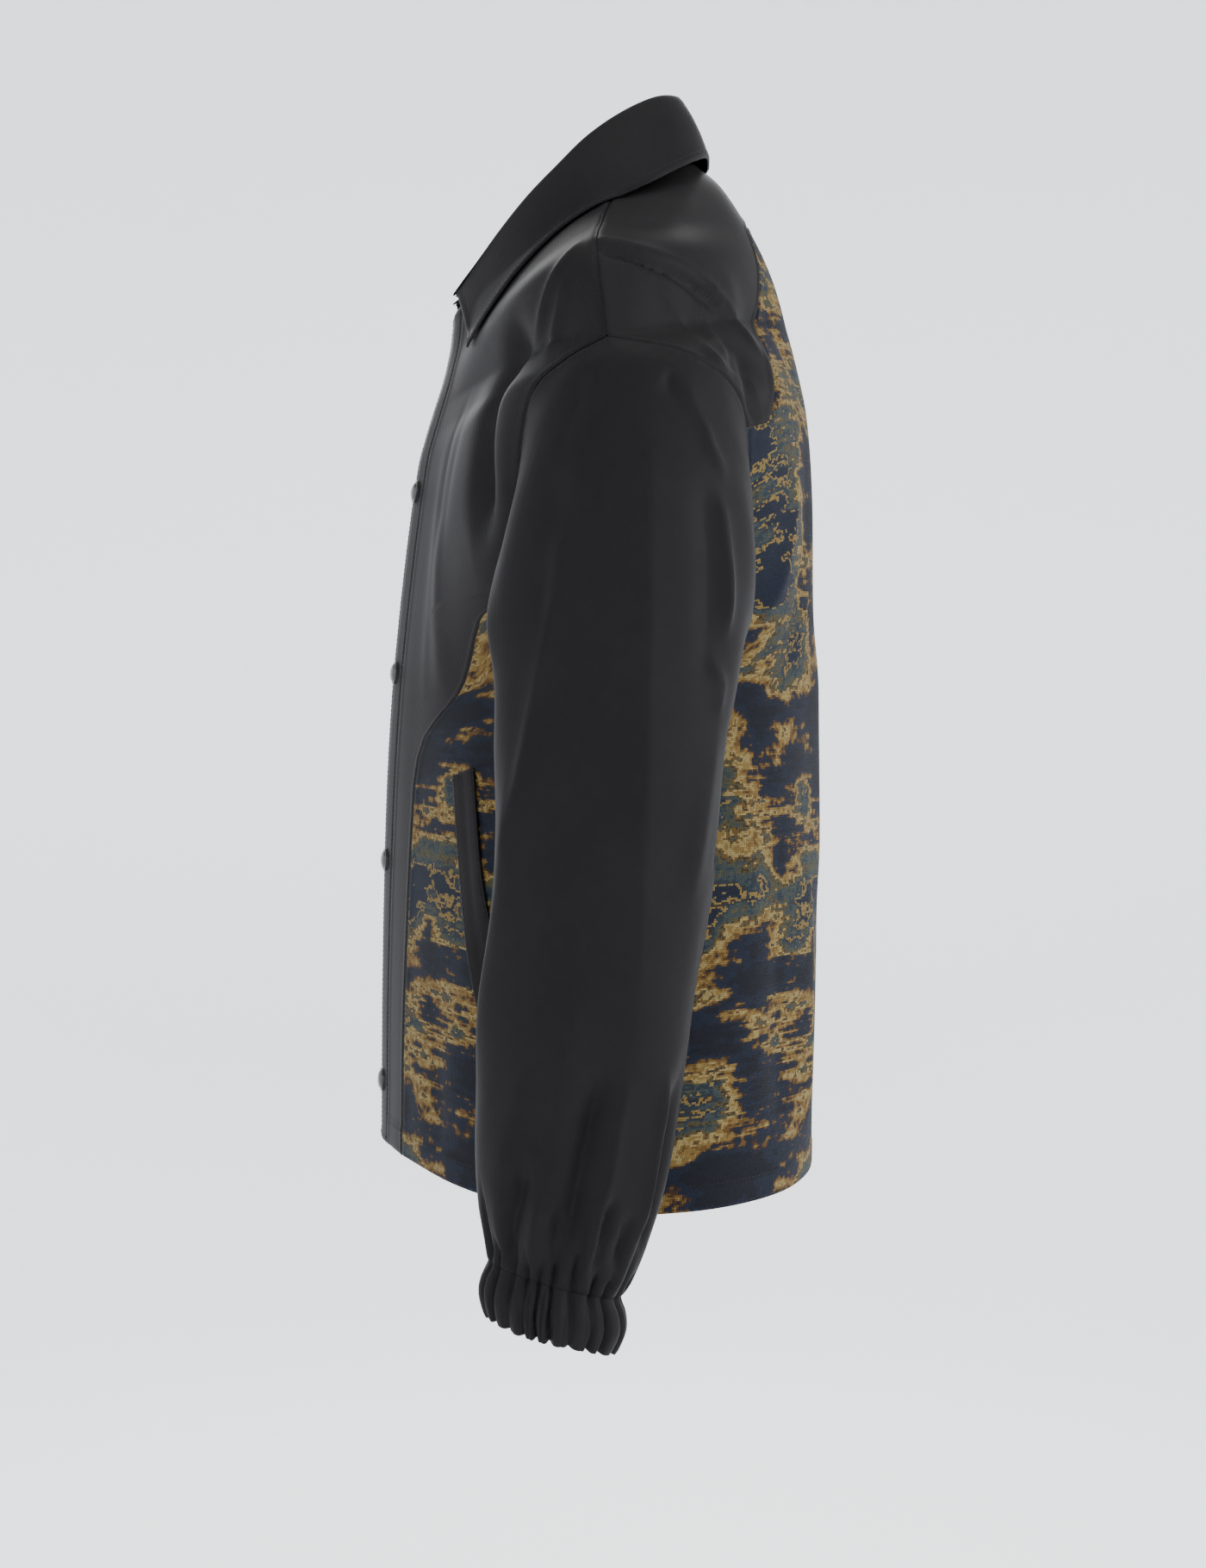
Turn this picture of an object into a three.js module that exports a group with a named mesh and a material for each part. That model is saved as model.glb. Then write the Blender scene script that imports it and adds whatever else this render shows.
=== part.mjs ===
// Coach jacket, filled out as it is worn, hollow, open at the neck, hem and cuffs.
// Millimetres, +Z up, front faces -Y, the wearer's left is +X.
// The origin is on the centre plane, level with the points where neck and shoulder meet.
import * as THREE from 'three';

// ---- driving sizes ---------------------------------------------------------------------
const WALL = 1.5;             // thickness of a cloth wall
const SEAM = 0.3;             // gap between two sewn pieces
const BAND = 18;              // half the width of the front band
const BAND_TURN = 0.4;        // share of the front's slope that the band keeps past the centre
const UNDERLAP = 2.2;         // how far the under band lies behind the upper one
const UNDERLAP_FADE = 60;     // where the under front is back on its own line
const SNAP_RADIUS = 7.75;     // snap cap
const SNAP_HEIGHT = 4;
const SNAP_LEVELS = [-181, -303, -429, -577];
const WELT_WIDTH = 22;        // slanted pocket welt
const WELT_TOP = { x: 131, z: -371 };
const WELT_FOOT = { x: 173, z: -532 };
const WELT_LEAN = 0.25;       // how its ends drop, and how wide it reaches, for its width
const WELT_SPAN = 0.82;
const CUFF_GATHERS = 24;
const CUFF_GATHER_DEPTH = 1.5;
const SLEEVE_GATHERS = 9;
const SLEEVE_GATHER_DEPTH = 3.2;
const MM_PER_DEGREE = 1.1;    // a sleeve fold's degrees, as a distance round the sleeve
const INNER_RISE = 1.5;       // how far a fold may stand out on the side next to the body
const ARMHOLE_FADE = 3;       // rings over which the armhole's own shape fades
const ARMHOLE_KEEP = 0.55;    // and the share of it that the first ring keeps
const ARMHOLE_DROP = 6;
const ARMHOLE_KEEP_UP = 0.3;
const HEM_ROW = 0;            // rows of the body tables, from hem to neck
const UNDERARM_ROW = 3;
const PANEL_ROW = 4;          // where the side front's seam meets the armhole
const SLEEVE_HEAD_ROW = 8;
const NECK_ROW = 12;
const HEM_STEPS = 3;          // grid steps of the body between those rows
const WAIST_ROW = 2;
const WAIST_STEPS = 5;
const ARMHOLE_STEPS = 15;
const SHOULDER_STEPS = 7;
const ACROSS_FRONT = 7;
const ACROSS_SIDE = 6;
const ACROSS_BACK = 10;
const ACROSS_BAND = 4;
const WELT_STEPS = 10;
const WELT_ACROSS = 3;
const SNAP_SEGMENTS = 12;
const STEP = 1e-3;            // step of the finite differences
const SEAM_STEP = 0.02;       // step along a seam, to find its direction
const ROW_HEIGHT = 105;       // about how far one row lies above the next at the welt and snaps
const FOLD_FREE = 30;         // distance from the centre up to which the body has no folds
const FOLD_FADE = 40;
const FOLD_END = 0.35;        // height that a fold keeps at its ends
const SHARED_FROM = 0.8;      // across from which front and back turn to their shared normal
const PANEL_TIP = 0.985;      // across at which the side front's seam ends at the armhole
const SLANT_MARGIN = 1.2;     // a slanted seam's gap, in straight ones
const SLANT_LIMIT = 6;

// ---- tables ----------------------------------------------------------------------------
const named = (columns, rows) => rows.map(
  (row) => Object.fromEntries(columns.map((name, i) => [name, row[i]])));

// One row for each line across half a front or back, from the centre to the outer edge:
// side seam, armhole, then shoulder seam. slope and reach set how it leaves the centre,
// pull how it comes in to the outer edge.
const ROW = ['centreY', 'centreZ', 'slope', 'reach', 'sideX', 'sideY', 'sideZ',
  'pullX', 'pullY', 'pullZ'];
const FRONT = named(ROW, [
  [-148.5, -617, 10, 130, 200, 0, -632, 0, -76, 0],
  [-147.8, -510, 11, 126, 199, -1, -505, 0, -76, 0],
  [-145.3, -400, 13, 120, 194, -1, -400, 0, -74, 0],
  [-141.5, -325, 14, 114, 183, 0, -316, 0, -68, 0],
  [-136.6, -270, 15, 110, 195, -48, -262, -18, -44, 0],
  [-130.4, -215, 16, 108, 206, -62, -205, -34, -40, 0],
  [-123.4, -165, 16, 104, 217, -57, -153, -42, -34, 0],
  [-118.4, -144, 16, 98, 229, -38, -133.5, -44, -32, 8],
  [-113.0, -126, 16, 90, 237, -15, -121.5, -34, -42, 8],
  [-106.2, -104, 15, 76, 201, -18, -62, -8, -52, -16],
  [-101.7, -84, 14, 58, 152, -11, -34, -2, -48, -22],
  [-100.3, -69, 10, 46, 113, -4, -13, 2, -44, -20],
  [-99.7, -59, 6, 40, 80, 2, 2, 2, -42, -24],
]);
const BACK = named(ROW, [
  [138.3, -627, 0, 112, 200, 0, -632, 0, 86, 0],
  [141.5, -510, 0, 112, 199, -1, -505, 0, 88, 0],
  [142.4, -400, 0, 110, 194, -1, -400, 0, 88, 0],
  [141.4, -322, 0, 108, 183, 0, -316, 0, 84, 0],
  [138.5, -262, 0, 108, 195, 52, -262, -16, 50, 0],
  [136.5, -198, 0, 108, 204, 69, -205, -36, 42, 2],
  [133.0, -140, 0, 108, 213, 66, -154, -44, 36, 8],
  [129.6, -106, 0, 104, 233, 34, -130.5, -48, 36, 14],
  [124.0, -75, 0, 98, 237, -15, -121.5, -34, 52, 14],
  [114.5, -42, 0, 86, 201, -18, -62, -8, 62, -2],
  [99.5, -7, 0, 66, 152, -11, -34, -2, 56, 0],
  [80.0, 25, 0, 46, 113, -4, -13, 2, 44, 6],
  [60.0, 41, 0, 36, 80, 2, 2, 2, 36, 14],
]);

// Seam between the black front and the patterned side front: how far out it is at a height.
const SIDE_FRONT_SEAM = named(['z', 'x'], [
  [-640, 62], [-431, 63], [-378, 63], [-361, 67], [-348, 76], [-337, 93], [-327, 109],
  [-316, 121], [-304, 130], [-290, 140], [-277, 152], [-266, 178], [-255, 200],
]);
// Lower edge of the back yoke: its height at a distance from the centre.
const YOKE_SEAM = named(['x', 'z'], [
  [0, 1], [30, -4], [58, -17], [78, -36], [97, -58], [114, -81], [141, -108], [165, -132],
  [179, -149], [190, -161], [208, -167], [240, -170],
]);

// Rings of a sleeve from under the armhole to the cuff: outermost and innermost point,
// middle and half depth from front to back, and how much the ring drops towards the back.
const RING = ['outX', 'outZ', 'inX', 'inZ', 'middleY', 'halfY', 'drop'];
const RINGS = named(RING, [
  [253, -146, 189, -328, -1, 74, 0],
  [266, -181, 196, -341, -3, 75, 0],
  [278, -224, 201, -357, -7.5, 73, 0],
  [286, -272, 203.5, -377, -10, 69.5, 0],
  [292, -322, 204.5, -401, -13, 66, 0],
  [297, -378, 205, -432, -15, 62.5, 0],
  [300, -434, 205.5, -469, -19, 60, 0],
  [302, -490, 206, -509, -25.5, 59, 0.02],
  [301, -545, 207, -553, -31, 57.5, 0.08],
  [297, -592, 208, -595, -35.5, 54, 0.15],
  [292, -625, 210, -627, -40, 48, 0.22],
  [288, -645, 213, -647, -43, 42.5, 0.27],
  [285.5, -656, 215.5, -658, -45, 38.5, 0.28],
]);
const CUFF_RINGS = named(RING, [
  [285.5, -656.5, 215.5, -658.5, -45, 38.5, 0.28],
  [289, -672, 212, -674, -46, 41, 0.28],
  [284.5, -687, 216.5, -689, -47, 37.5, 0.28],
]);

// Collar, from the centre back to its front end: the line it rolls over and its free edge.
const COLLAR = named(['rollX', 'rollY', 'rollZ', 'edgeX', 'edgeY', 'edgeZ'], [
  [0, 53, 82, 0, 73, 46],
  [32, 48, 80, 42, 67, 41],
  [57, 31, 72, 76, 51, 26],
  [70, 8, 58, 100, 25, 6],
  [74, -15, 41, 110, -6, -13],
  [71, -35, 22, 109, -31, -35],
  [63, -54, 4, 101, -52, -56],
  [51, -71, -15, 88, -68, -75],
  [33, -88, -36, 73, -80, -88],
  [15, -100, -49.5, 59, -91, -95],
]);
const NECK_POINT_ROW = 3.2;   // the collar's row above the shoulder seam
const ROLL_INWARD = 3;        // how the collar's inner edge turns in and down from the roll
const ROLL_DOWN = 4;
const COLLAR_BULGE = 5;
const COLLAR_CLEAR = 0.6;
const COLLAR_BULGE_AT = 0.35;
const COLLAR_STEPS = 5;
const COLLAR_FRONT = 6;       // the collar's row from which its front end is shaped
const ROLL_IN = 1.2;          // where the inner edge starts, in from the roll
const STAND_TURN = 0.6;       // how far the stand turns out of the body's surface
const STAND_GAP = { back: 1.4, front: 0.8 };
const STAND_AXIS = 20;        // how far in front of the origin the stand's middle line is

// Soft folds. A row runs from a to b on the piece; width is the fold's reach to each side.
// On the body a and b are distances from the centre and heights, on a sleeve they are
// angles round it (0 outside, 90 back, 180 inside, 270 front) and heights.
const FOLD = ['a', 'az', 'b', 'bz', 'width', 'height'];
const FRONT_FOLDS = named(FOLD, [
  [158, -85, 176, -240, 17, -7],
  [124, -95, 116, -250, 17, 3.5],
  [90, -200, 95, -330, 18, 2.5],
  [165, -360, 150, -560, 26, 2.5],
  [110, -480, 118, -620, 18, -2.5],
]);
const BACK_FOLDS = named(FOLD, [
  [172, -75, 194, -150, 17, -5],
  [138, -50, 165, -160, 19, 4],
  [120, -150, 135, -330, 20, -3],
  [60, -260, 75, -480, 26, 3],
  [150, -380, 140, -620, 24, -4],
  [105, -420, 100, -620, 20, 3],
]);
const SLEEVE_FOLDS = named(FOLD, [
  [348, -190, 300, -330, 11.5, 4],
  [300, -330, 270, -560, 13.8, 4],
  [330, -190, 318, -300, 12.65, -4],
  [58, -220, 62, -330, 10.35, 4.5],
  [62, -330, 50, -460, 10.35, 3],
  [42, -160, 72, -280, 10.35, -4.5],
  [20, -480, 340, -640, 12.65, -5],
  [30, -560, 12, -652, 9.2, -6],
  [318, -600, 312, -652, 9.2, -5],
  [75, -520, 60, -650, 10.35, -4],
  [120, -250, 118, -420, 18.4, -4],
  [215, -380, 235, -520, 20.7, -3],
  [150, -480, 165, -640, 16.1, 4],
]);

// Section of a snap cap from its middle to its rim and over the dome, as shares of its size.
const SNAP_PROFILE = named(['radius', 'height'], [
  [0, 0], [0.9, 0], [1, 0.12], [1, 0.3], [0.93, 0.42], [0.86, 0.44], [0.8, 0.6],
  [0.6, 0.82], [0.32, 0.96], [0, 1],
]);

// ---- colours ---------------------------------------------------------------------------
const BLACK_CLOTH = { color: 0x2c2b2d, roughness: 0.7, metalness: 0 };
const PATTERNED_CLOTH = { color: 0x6b6448, roughness: 0.85, metalness: 0 };
const SNAP_METAL = { color: 0x303033, roughness: 0.35, metalness: 0.6 };

// ---- small vector helpers --------------------------------------------------------------
const add = (p, q, k = 1) => [p[0] + q[0] * k, p[1] + q[1] * k, p[2] + q[2] * k];
const sub = (p, q) => add(p, q, -1);
const dot = (p, q) => p[0] * q[0] + p[1] * q[1] + p[2] * q[2];
const size = (p) => Math.sqrt(dot(p, p));
const unit = (p) => add([0, 0, 0], p, 1 / size(p));
const cross = (p, q) => [
  p[1] * q[2] - p[2] * q[1], p[2] * q[0] - p[0] * q[2], p[0] * q[1] - p[1] * q[0]];
const mix = (p, q, t) => p + (q - p) * t;
const clamp = (t, low = 0, high = 1) => Math.min(high, Math.max(low, t));
const ease = (t) => clamp(t) ** 2 * (3 - 2 * clamp(t));
const radians = (degrees) => degrees * Math.PI / 180;
const steps = (count, from = 0, to = 1) => Array.from(
  { length: count + 1 }, (_, i) => mix(from, to, i / count));

// Value of a table's column between its rows, smooth but for the corners it is given.
function between(rows, name, row, corners = []) {
  const k = clamp(Math.floor(row), 0, rows.length - 2);
  const t = row - k;
  const here = rows[k][name];
  const next = rows[k + 1][name];
  const before = k === 0 || corners.includes(k) ? 2 * here - next : rows[k - 1][name];
  const last = k === rows.length - 2 || corners.includes(k + 1);
  const after = last ? 2 * next - here : rows[k + 2][name];
  const leave = (next - before) / 2;
  const arrive = (after - here) / 2;
  return here * (1 + 2 * t) * (1 - t) ** 2 + leave * t * (1 - t) ** 2
    + next * t * t * (3 - 2 * t) + arrive * t * t * (t - 1);
}

// Straight interpolation in a table of pairs.
function lookup(rows, from, to, value) {
  const k = clamp(rows.findIndex((row) => row[from] > value) - 1, 0, rows.length - 2);
  const end = rows[rows.length - 1];
  if (value >= end[from]) return end[to];
  const t = clamp((value - rows[k][from]) / (rows[k + 1][from] - rows[k][from]));
  return mix(rows[k][to], rows[k + 1][to], t);
}

// Sum of the folds at a place, each fading out over its width and towards its ends.
function foldHeight(folds, place, z, scale = 1, wrap = 0) {
  let total = 0;
  for (const fold of folds) {
    let from = (place - fold.a) * scale;
    if (wrap) from = (((place - fold.a) % wrap + wrap * 1.5) % wrap - wrap / 2) * scale;
    let run = (fold.b - fold.a) * scale;
    if (wrap && Math.abs(fold.b - fold.a) > wrap / 2) {
      run = (fold.b - fold.a - Math.sign(fold.b - fold.a) * wrap) * scale;
    }
    const rise = fold.bz - fold.az;
    const along = (from * run + (z - fold.az) * rise) / (run * run + rise * rise);
    const t = clamp(along);
    const away = Math.hypot(from - run * t, z - fold.az - rise * t);
    const lasting = FOLD_END + (1 - FOLD_END) * Math.sin(Math.PI * t);
    total += fold.height * Math.exp(-((away / fold.width) ** 2)) * lasting;
  }
  return total;
}

// ---- the body as one surface -----------------------------------------------------------
const CORNERS = [UNDERARM_ROW, SLEEVE_HEAD_ROW];

// Point of half a front or back on the +X side. across runs from 0 at the centre to 1 at
// the outer edge, and below 0 on the band past the centre.
function plainPoint(half, across, row) {
  const at = (name) => between(half.rows, name, row);
  const edge = (name) => between(half.rows, name, row, CORNERS);
  const slope = radians(at('slope'));
  const reach = at('reach');
  const centre = [0, at('centreY'), at('centreZ')];
  const leave = [Math.cos(slope), Math.sin(slope), 0];
  if (across < 0) {
    if (half.under) {
      const above = plainPoint(half.above, -across, row);
      return [-above[0], above[1] + UNDERLAP, above[2]];
    }
    const x = 3 * reach * across * leave[0];
    return [x, centre[1] + x * Math.tan(slope) * BAND_TURN, centre[2]];
  }
  const side = [edge('sideX'), edge('sideY'), edge('sideZ')];
  const first = add(centre, leave, reach);
  const second = add(side, [edge('pullX'), edge('pullY'), edge('pullZ')]);
  const s = 1 - across;
  let point = add([0, 0, 0], centre, s ** 3);
  point = add(point, first, 3 * s * s * across);
  point = add(point, second, 3 * s * across * across);
  point = add(point, side, across ** 3);
  if (half.under) point[1] += UNDERLAP * (1 - ease(point[0] / UNDERLAP_FADE));
  return point;
}

function plainNormal(half, across, row) {
  const low = Math.min(row, NECK_ROW - STEP);
  const alongRow = sub(plainPoint(half, across + STEP, low), plainPoint(half, across, low));
  const upwards = sub(plainPoint(half, across, low + STEP), plainPoint(half, across, low));
  const normal = unit(cross(alongRow, upwards));
  return half.sign < 0 ? normal : add([0, 0, 0], normal, -1);
}

function bodyPoint(half, across, row) {
  const point = plainPoint(half, across, row);
  const height = foldHeight(half.folds, point[0], point[2]) 
    * ease((point[0] - FOLD_FREE) / FOLD_FADE);
  return height ? add(point, plainNormal(half, across, row), height) : point;
}

function bodySlopes(half, across, row) {
  const a = across > 0.5 ? across - STEP : across;
  const r = row > 5 ? row - STEP : row;
  return {
    alongRow: sub(bodyPoint(half, a + STEP, row), bodyPoint(half, a, row)),
    upwards: sub(bodyPoint(half, across, r + STEP), bodyPoint(half, across, r)),
  };
}

function ownNormal(half, across, row) {
  const { alongRow, upwards } = bodySlopes(half, across, row);
  const normal = unit(cross(alongRow, upwards));
  return half.sign < 0 ? normal : add([0, 0, 0], normal, -1);
}

// Front and back share one normal along the seams where they meet.
function bodyNormal(half, across, row) {
  const own = ownNormal(half, across, row);
  const shared = row <= UNDERARM_ROW || row >= SLEEVE_HEAD_ROW
    ? ease((across - SHARED_FROM) / (1 - SHARED_FROM)) : 0;
  if (!shared) return own;
  const partner = ownNormal(half.partner, 1, row);
  const self = ownNormal(half, 1, row);
  const seam = unit(add(self, partner));
  return unit(add(own, sub(seam, own), shared));
}

const leftFront = { rows: FRONT, folds: FRONT_FOLDS, sign: -1, under: false };
const rightFront = { rows: FRONT, folds: FRONT_FOLDS, sign: -1, under: true };
const back = { rows: BACK, folds: BACK_FOLDS, sign: 1, under: false };
rightFront.above = leftFront;
leftFront.partner = back;
rightFront.partner = back;
back.partner = leftFront;

// Outer and inner point of the wall, shifted along and across by a share of the seam gap.
function wallAt(half, across, row, shiftAcross = 0, shiftUp = 0, out = 0) {
  const { alongRow, upwards } = bodySlopes(half, across, row);
  const a = across + shiftAcross * SEAM / 2 * STEP / size(alongRow);
  const r = row + shiftUp * SEAM / 2 * STEP / size(upwards);
  const normal = bodyNormal(half, a, r);
  const point = bodyPoint(half, a, r);
  return { outer: add(point, normal, out), inner: add(point, normal, out - WALL) };
}

// across at which a row reaches a distance from the centre.
function acrossFor(half, row, distance) {
  let low = -0.2;
  let high = 1;
  for (let i = 0; i < 40; i += 1) {
    const middle = (low + high) / 2;
    const point = plainPoint(half, middle, row);
    const target = typeof distance === 'number' ? distance : distance(point[2]);
    if (point[0] < target) low = middle;
    else high = middle;
  }
  return (low + high) / 2;
}

// ---- solids ----------------------------------------------------------------------------
const jacket = new THREE.Group();

function finish(name, points, triangles, look) {
  let volume = 0;
  for (const [a, b, c] of triangles) {
    volume += dot(points[a], cross(points[b], points[c]));
  }
  const faces = volume < 0 ? triangles.map(([a, b, c]) => [a, c, b]) : triangles;
  const geometry = new THREE.BufferGeometry();
  geometry.setAttribute('position', new THREE.Float32BufferAttribute(points.flat(), 3));
  geometry.setIndex(faces.flat());
  geometry.computeVertexNormals();
  const mesh = new THREE.Mesh(geometry, new THREE.MeshStandardMaterial(look));
  mesh.name = name;
  jacket.add(mesh);
}

// A cloth wall from a grid of outer and inner points, closed at its edges. A ring closes
// on itself along its rows.
function wallSolid(name, grid, look, ring = false) {
  const rows = grid.length;
  const columns = grid[0].length;
  const points = [...grid.flat().map((p) => p.outer), ...grid.flat().map((p) => p.inner)];
  const outer = (j, i) => j * columns + i % columns;
  const inner = (j, i) => rows * columns + outer(j, i);
  const triangles = [];
  const quad = (a, b, c, d) => triangles.push([a, b, c], [a, c, d]);
  const last = ring ? columns : columns - 1;
  for (let j = 0; j < rows - 1; j += 1) {
    for (let i = 0; i < last; i += 1) {
      quad(outer(j, i), outer(j, i + 1), outer(j + 1, i + 1), outer(j + 1, i));
      quad(inner(j, i), inner(j + 1, i), inner(j + 1, i + 1), inner(j, i + 1));
    }
  }
  for (let i = 0; i < last; i += 1) {
    quad(outer(0, i + 1), outer(0, i), inner(0, i), inner(0, i + 1));
    quad(outer(rows - 1, i), outer(rows - 1, i + 1), inner(rows - 1, i + 1), inner(rows - 1, i));
  }
  if (!ring) {
    for (let j = 0; j < rows - 1; j += 1) {
      quad(outer(j, 0), outer(j + 1, 0), inner(j + 1, 0), inner(j, 0));
      quad(outer(j + 1, last), outer(j, last), inner(j, last), inner(j + 1, last));
    }
  }
  finish(name, points, triangles, look);
}

const mirrorPoint = (p) => [-p[0], p[1], p[2]];
const mirrorWall = (w) => ({ outer: mirrorPoint(w.outer), inner: mirrorPoint(w.inner) });
const placed = (grid, side) => (side < 0 ? grid.map((line) => line.map(mirrorWall)) : grid);

const hemRows = [...steps(HEM_STEPS, HEM_ROW, WAIST_ROW),
  ...steps(WAIST_STEPS, WAIST_ROW, UNDERARM_ROW).slice(1)];
const armholeRows = steps(ARMHOLE_STEPS, UNDERARM_ROW, SLEEVE_HEAD_ROW);
const shoulderRows = steps(SHOULDER_STEPS, SLEEVE_HEAD_ROW, NECK_ROW);
const nearestRow = (row) => armholeRows.reduce(
  (best, r) => (Math.abs(r - row) < Math.abs(best - row) ? r : best));
const bodyRows = [...hemRows, ...armholeRows.slice(1), ...shoulderRows.slice(1)];
const panelRow = nearestRow(PANEL_ROW);

const bandEdge = (half, row) => acrossFor(half, row, BAND);
const panelEdge = (half, row) => Math.min(
  PANEL_TIP, acrossFor(half, row, (z) => lookup(SIDE_FRONT_SEAM, 'z', 'x', z)));
const frontEdge = (half, row) => (row <= panelRow ? panelEdge(half, row) : 1);

// How much further to shift along a line so that a slanted seam still gets its gap.
function slant(half, place, line) {
  const at = (step) => bodyPoint(half, ...place(step));
  const seam = sub(at(1), at(-1));
  const [across, row] = place(0);
  const away = unit(cross(bodyNormal(half, across, row), seam));
  const direction = unit(bodySlopes(half, across, row)[line]);
  return Math.min(SLANT_LIMIT, SLANT_MARGIN / Math.abs(dot(direction, away)));
}

// Shift of an edge: 1 or -1 at the first and last column or row, 0 between them.
const edgeShift = (i, count) => (i === 0 ? 1 : 0) - (i === count ? 1 : 0);

function panelSlant(half, row) {
  if (row >= panelRow) return 1;
  const place = (step) => [
    panelEdge(half, row + step * SEAM_STEP), row + step * SEAM_STEP];
  return slant(half, place, 'alongRow');
}

function frontPiece(half, side, name) {
  const grid = bodyRows.map((row) => steps(ACROSS_FRONT).map((f, i) => wallAt(
    half, mix(bandEdge(half, row), frontEdge(half, row), f), row,
    edgeShift(i, ACROSS_FRONT) * (i ? panelSlant(half, row) : 1))));
  wallSolid(name, placed(grid, side), BLACK_CLOTH);
}

function bandPiece(half, side, name) {
  const grid = bodyRows.map((row) => steps(ACROSS_BAND).map((f, i) => wallAt(
    half, mix(acrossFor(half, row, -BAND), bandEdge(half, row), f), row,
    i === ACROSS_BAND ? -1 : 0)));
  wallSolid(name, placed(grid, side), BLACK_CLOTH);
}

function sideFrontPiece(half, side, name) {
  const rows = bodyRows.filter((row) => row <= panelRow);
  const grid = rows.map((row, j) => steps(ACROSS_SIDE).map((f, i) => wallAt(
    half, mix(panelEdge(half, row), 1, f), row,
    edgeShift(i, ACROSS_SIDE) * (i ? 1 : panelSlant(half, row)),
    j === rows.length - 1 ? -1 : 0)));
  wallSolid(name, placed(grid, side), PATTERNED_CLOTH);
}

// Row at which the back reaches the yoke seam.
function yokeRow(across) {
  let low = UNDERARM_ROW;
  let high = NECK_ROW;
  for (let i = 0; i < 40; i += 1) {
    const middle = (low + high) / 2;
    const point = plainPoint(back, across, middle);
    if (point[2] < lookup(YOKE_SEAM, 'x', 'z', point[0])) low = middle;
    else high = middle;
  }
  return (low + high) / 2;
}
const yokeArmholeRow = nearestRow(yokeRow(1));
const yokeShift = yokeArmholeRow - yokeRow(1);
const yokeEdge = (across) => yokeRow(across) + yokeShift * ease(across);

function yokeSlant(across) {
  const place = (step) => [
    clamp(across + step * SEAM_STEP), yokeEdge(clamp(across + step * SEAM_STEP))];
  return slant(back, place, 'upwards');
}

function backGrid(rows, place, lowShift, highShift) {
  const whole = steps(2 * ACROSS_BACK, -1, 1);
  return rows.map((row, j) => whole.map((signed) => {
    const across = Math.abs(signed);
    const atSeam = (j === 0 ? lowShift : 0) - (j === rows.length - 1 ? highShift : 0);
    const up = atSeam * yokeSlant(across);
    const wall = wallAt(back, across, place(row, across), across === 1 ? -1 : 0, up);
    return signed < 0 ? mirrorWall(wall) : wall;
  }));
}

function backPieces() {
  const lower = bodyRows.filter((row) => row <= yokeArmholeRow);
  const upper = bodyRows.filter((row) => row >= yokeArmholeRow);
  const panelPlace = (row, across) => row / yokeArmholeRow * yokeEdge(across);
  const yokePlace = (row, across) => mix(
    yokeEdge(across), NECK_ROW, (row - yokeArmholeRow) / (NECK_ROW - yokeArmholeRow));
  wallSolid('back_panel', backGrid(lower, panelPlace, 0, 1), PATTERNED_CLOTH);
  wallSolid('back_yoke', backGrid(upper, yokePlace, 1, 0), BLACK_CLOTH);
}

// A slanted welt that lies on the side front.
function weltPiece(half, side, name) {
  const grid = steps(WELT_STEPS).map((f) => {
    const z = mix(WELT_TOP.z, WELT_FOOT.z, f);
    const x = mix(WELT_TOP.x, WELT_FOOT.x, f);
    return steps(WELT_ACROSS, -0.5, 0.5).map((w) => {
      const slantedZ = z + w * WELT_WIDTH * WELT_LEAN;
      const slantedX = x + w * WELT_WIDTH * WELT_SPAN;
      let row = WAIST_ROW;
      for (let i = 0; i < 8; i += 1) {
        const across = acrossFor(half, row, slantedX);
        row += (slantedZ - plainPoint(half, across, row)[2]) / ROW_HEIGHT;
      }
      const across = acrossFor(half, row, slantedX);
      return wallAt(half, across, row, 0, 0, SEAM * 1.5 + WALL);
    });
  });
  wallSolid(name, placed(grid, side), BLACK_CLOTH);
}

// ---- sleeves ---------------------------------------------------------------------------
// Seam points round an armhole or neck, moved clear of the body's edge. turn says how far
// the new wall turns out of the body's surface there.
function seamStart(half, row, across, alongEdge, outwards, turn) {
  const point = bodyPoint(half, across, row);
  const normal = bodyNormal(half, across, row);
  let away = unit(cross(normal, alongEdge));
  if (dot(away, outwards) < 0) away = add([0, 0, 0], away, -1);
  const direction = unit(add(away, normal, turn));
  return add(point, direction, SEAM * (1 + 0.5 * turn));
}

function armholePoint(half, row) {
  const low = clamp(row, UNDERARM_ROW + STEP, SLEEVE_HEAD_ROW - STEP);
  const along = sub(bodyPoint(half, 1, low + STEP), bodyPoint(half, 1, low - STEP));
  const { alongRow } = bodySlopes(half, 1, low);
  const outwards = row < UNDERARM_ROW + 0.5 ? [0.2, 0, 1] : alongRow;
  const turn = 1 - ease((row - UNDERARM_ROW) / 2);
  const point = seamStart(half, row, 1, along, outwards, turn);
  return { point, turn, normal: bodyNormal(half, 1, low) };
}

// Angle 0 is the top of the sleeve head, 180 the underarm; the back comes first.
const sleeveColumns = steps(2 * ARMHOLE_STEPS, 0, 2 * Math.PI).slice(0, -1);
const armholeLoop = sleeveColumns.map((_, i) => {
  const overBack = i <= ARMHOLE_STEPS;
  const row = overBack ? armholeRows[ARMHOLE_STEPS - i] : armholeRows[i - ARMHOLE_STEPS];
  return armholePoint(overBack ? back : leftFront, row);
});

// Outward direction at a point of a ring, within the ring's own tilted plane.
function ringOutward(rings, index, point) {
  const at = (name) => between(rings, name, index);
  const outward = unit([point[0] - (at('outX') + at('inX')) / 2, point[1] - at('middleY'), 0]);
  const lean = (at('outZ') - at('inZ')) / (at('outX') - at('inX'));
  return add(outward, [0, 0, lean * outward[0] - at('drop') * outward[1]]);
}

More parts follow.
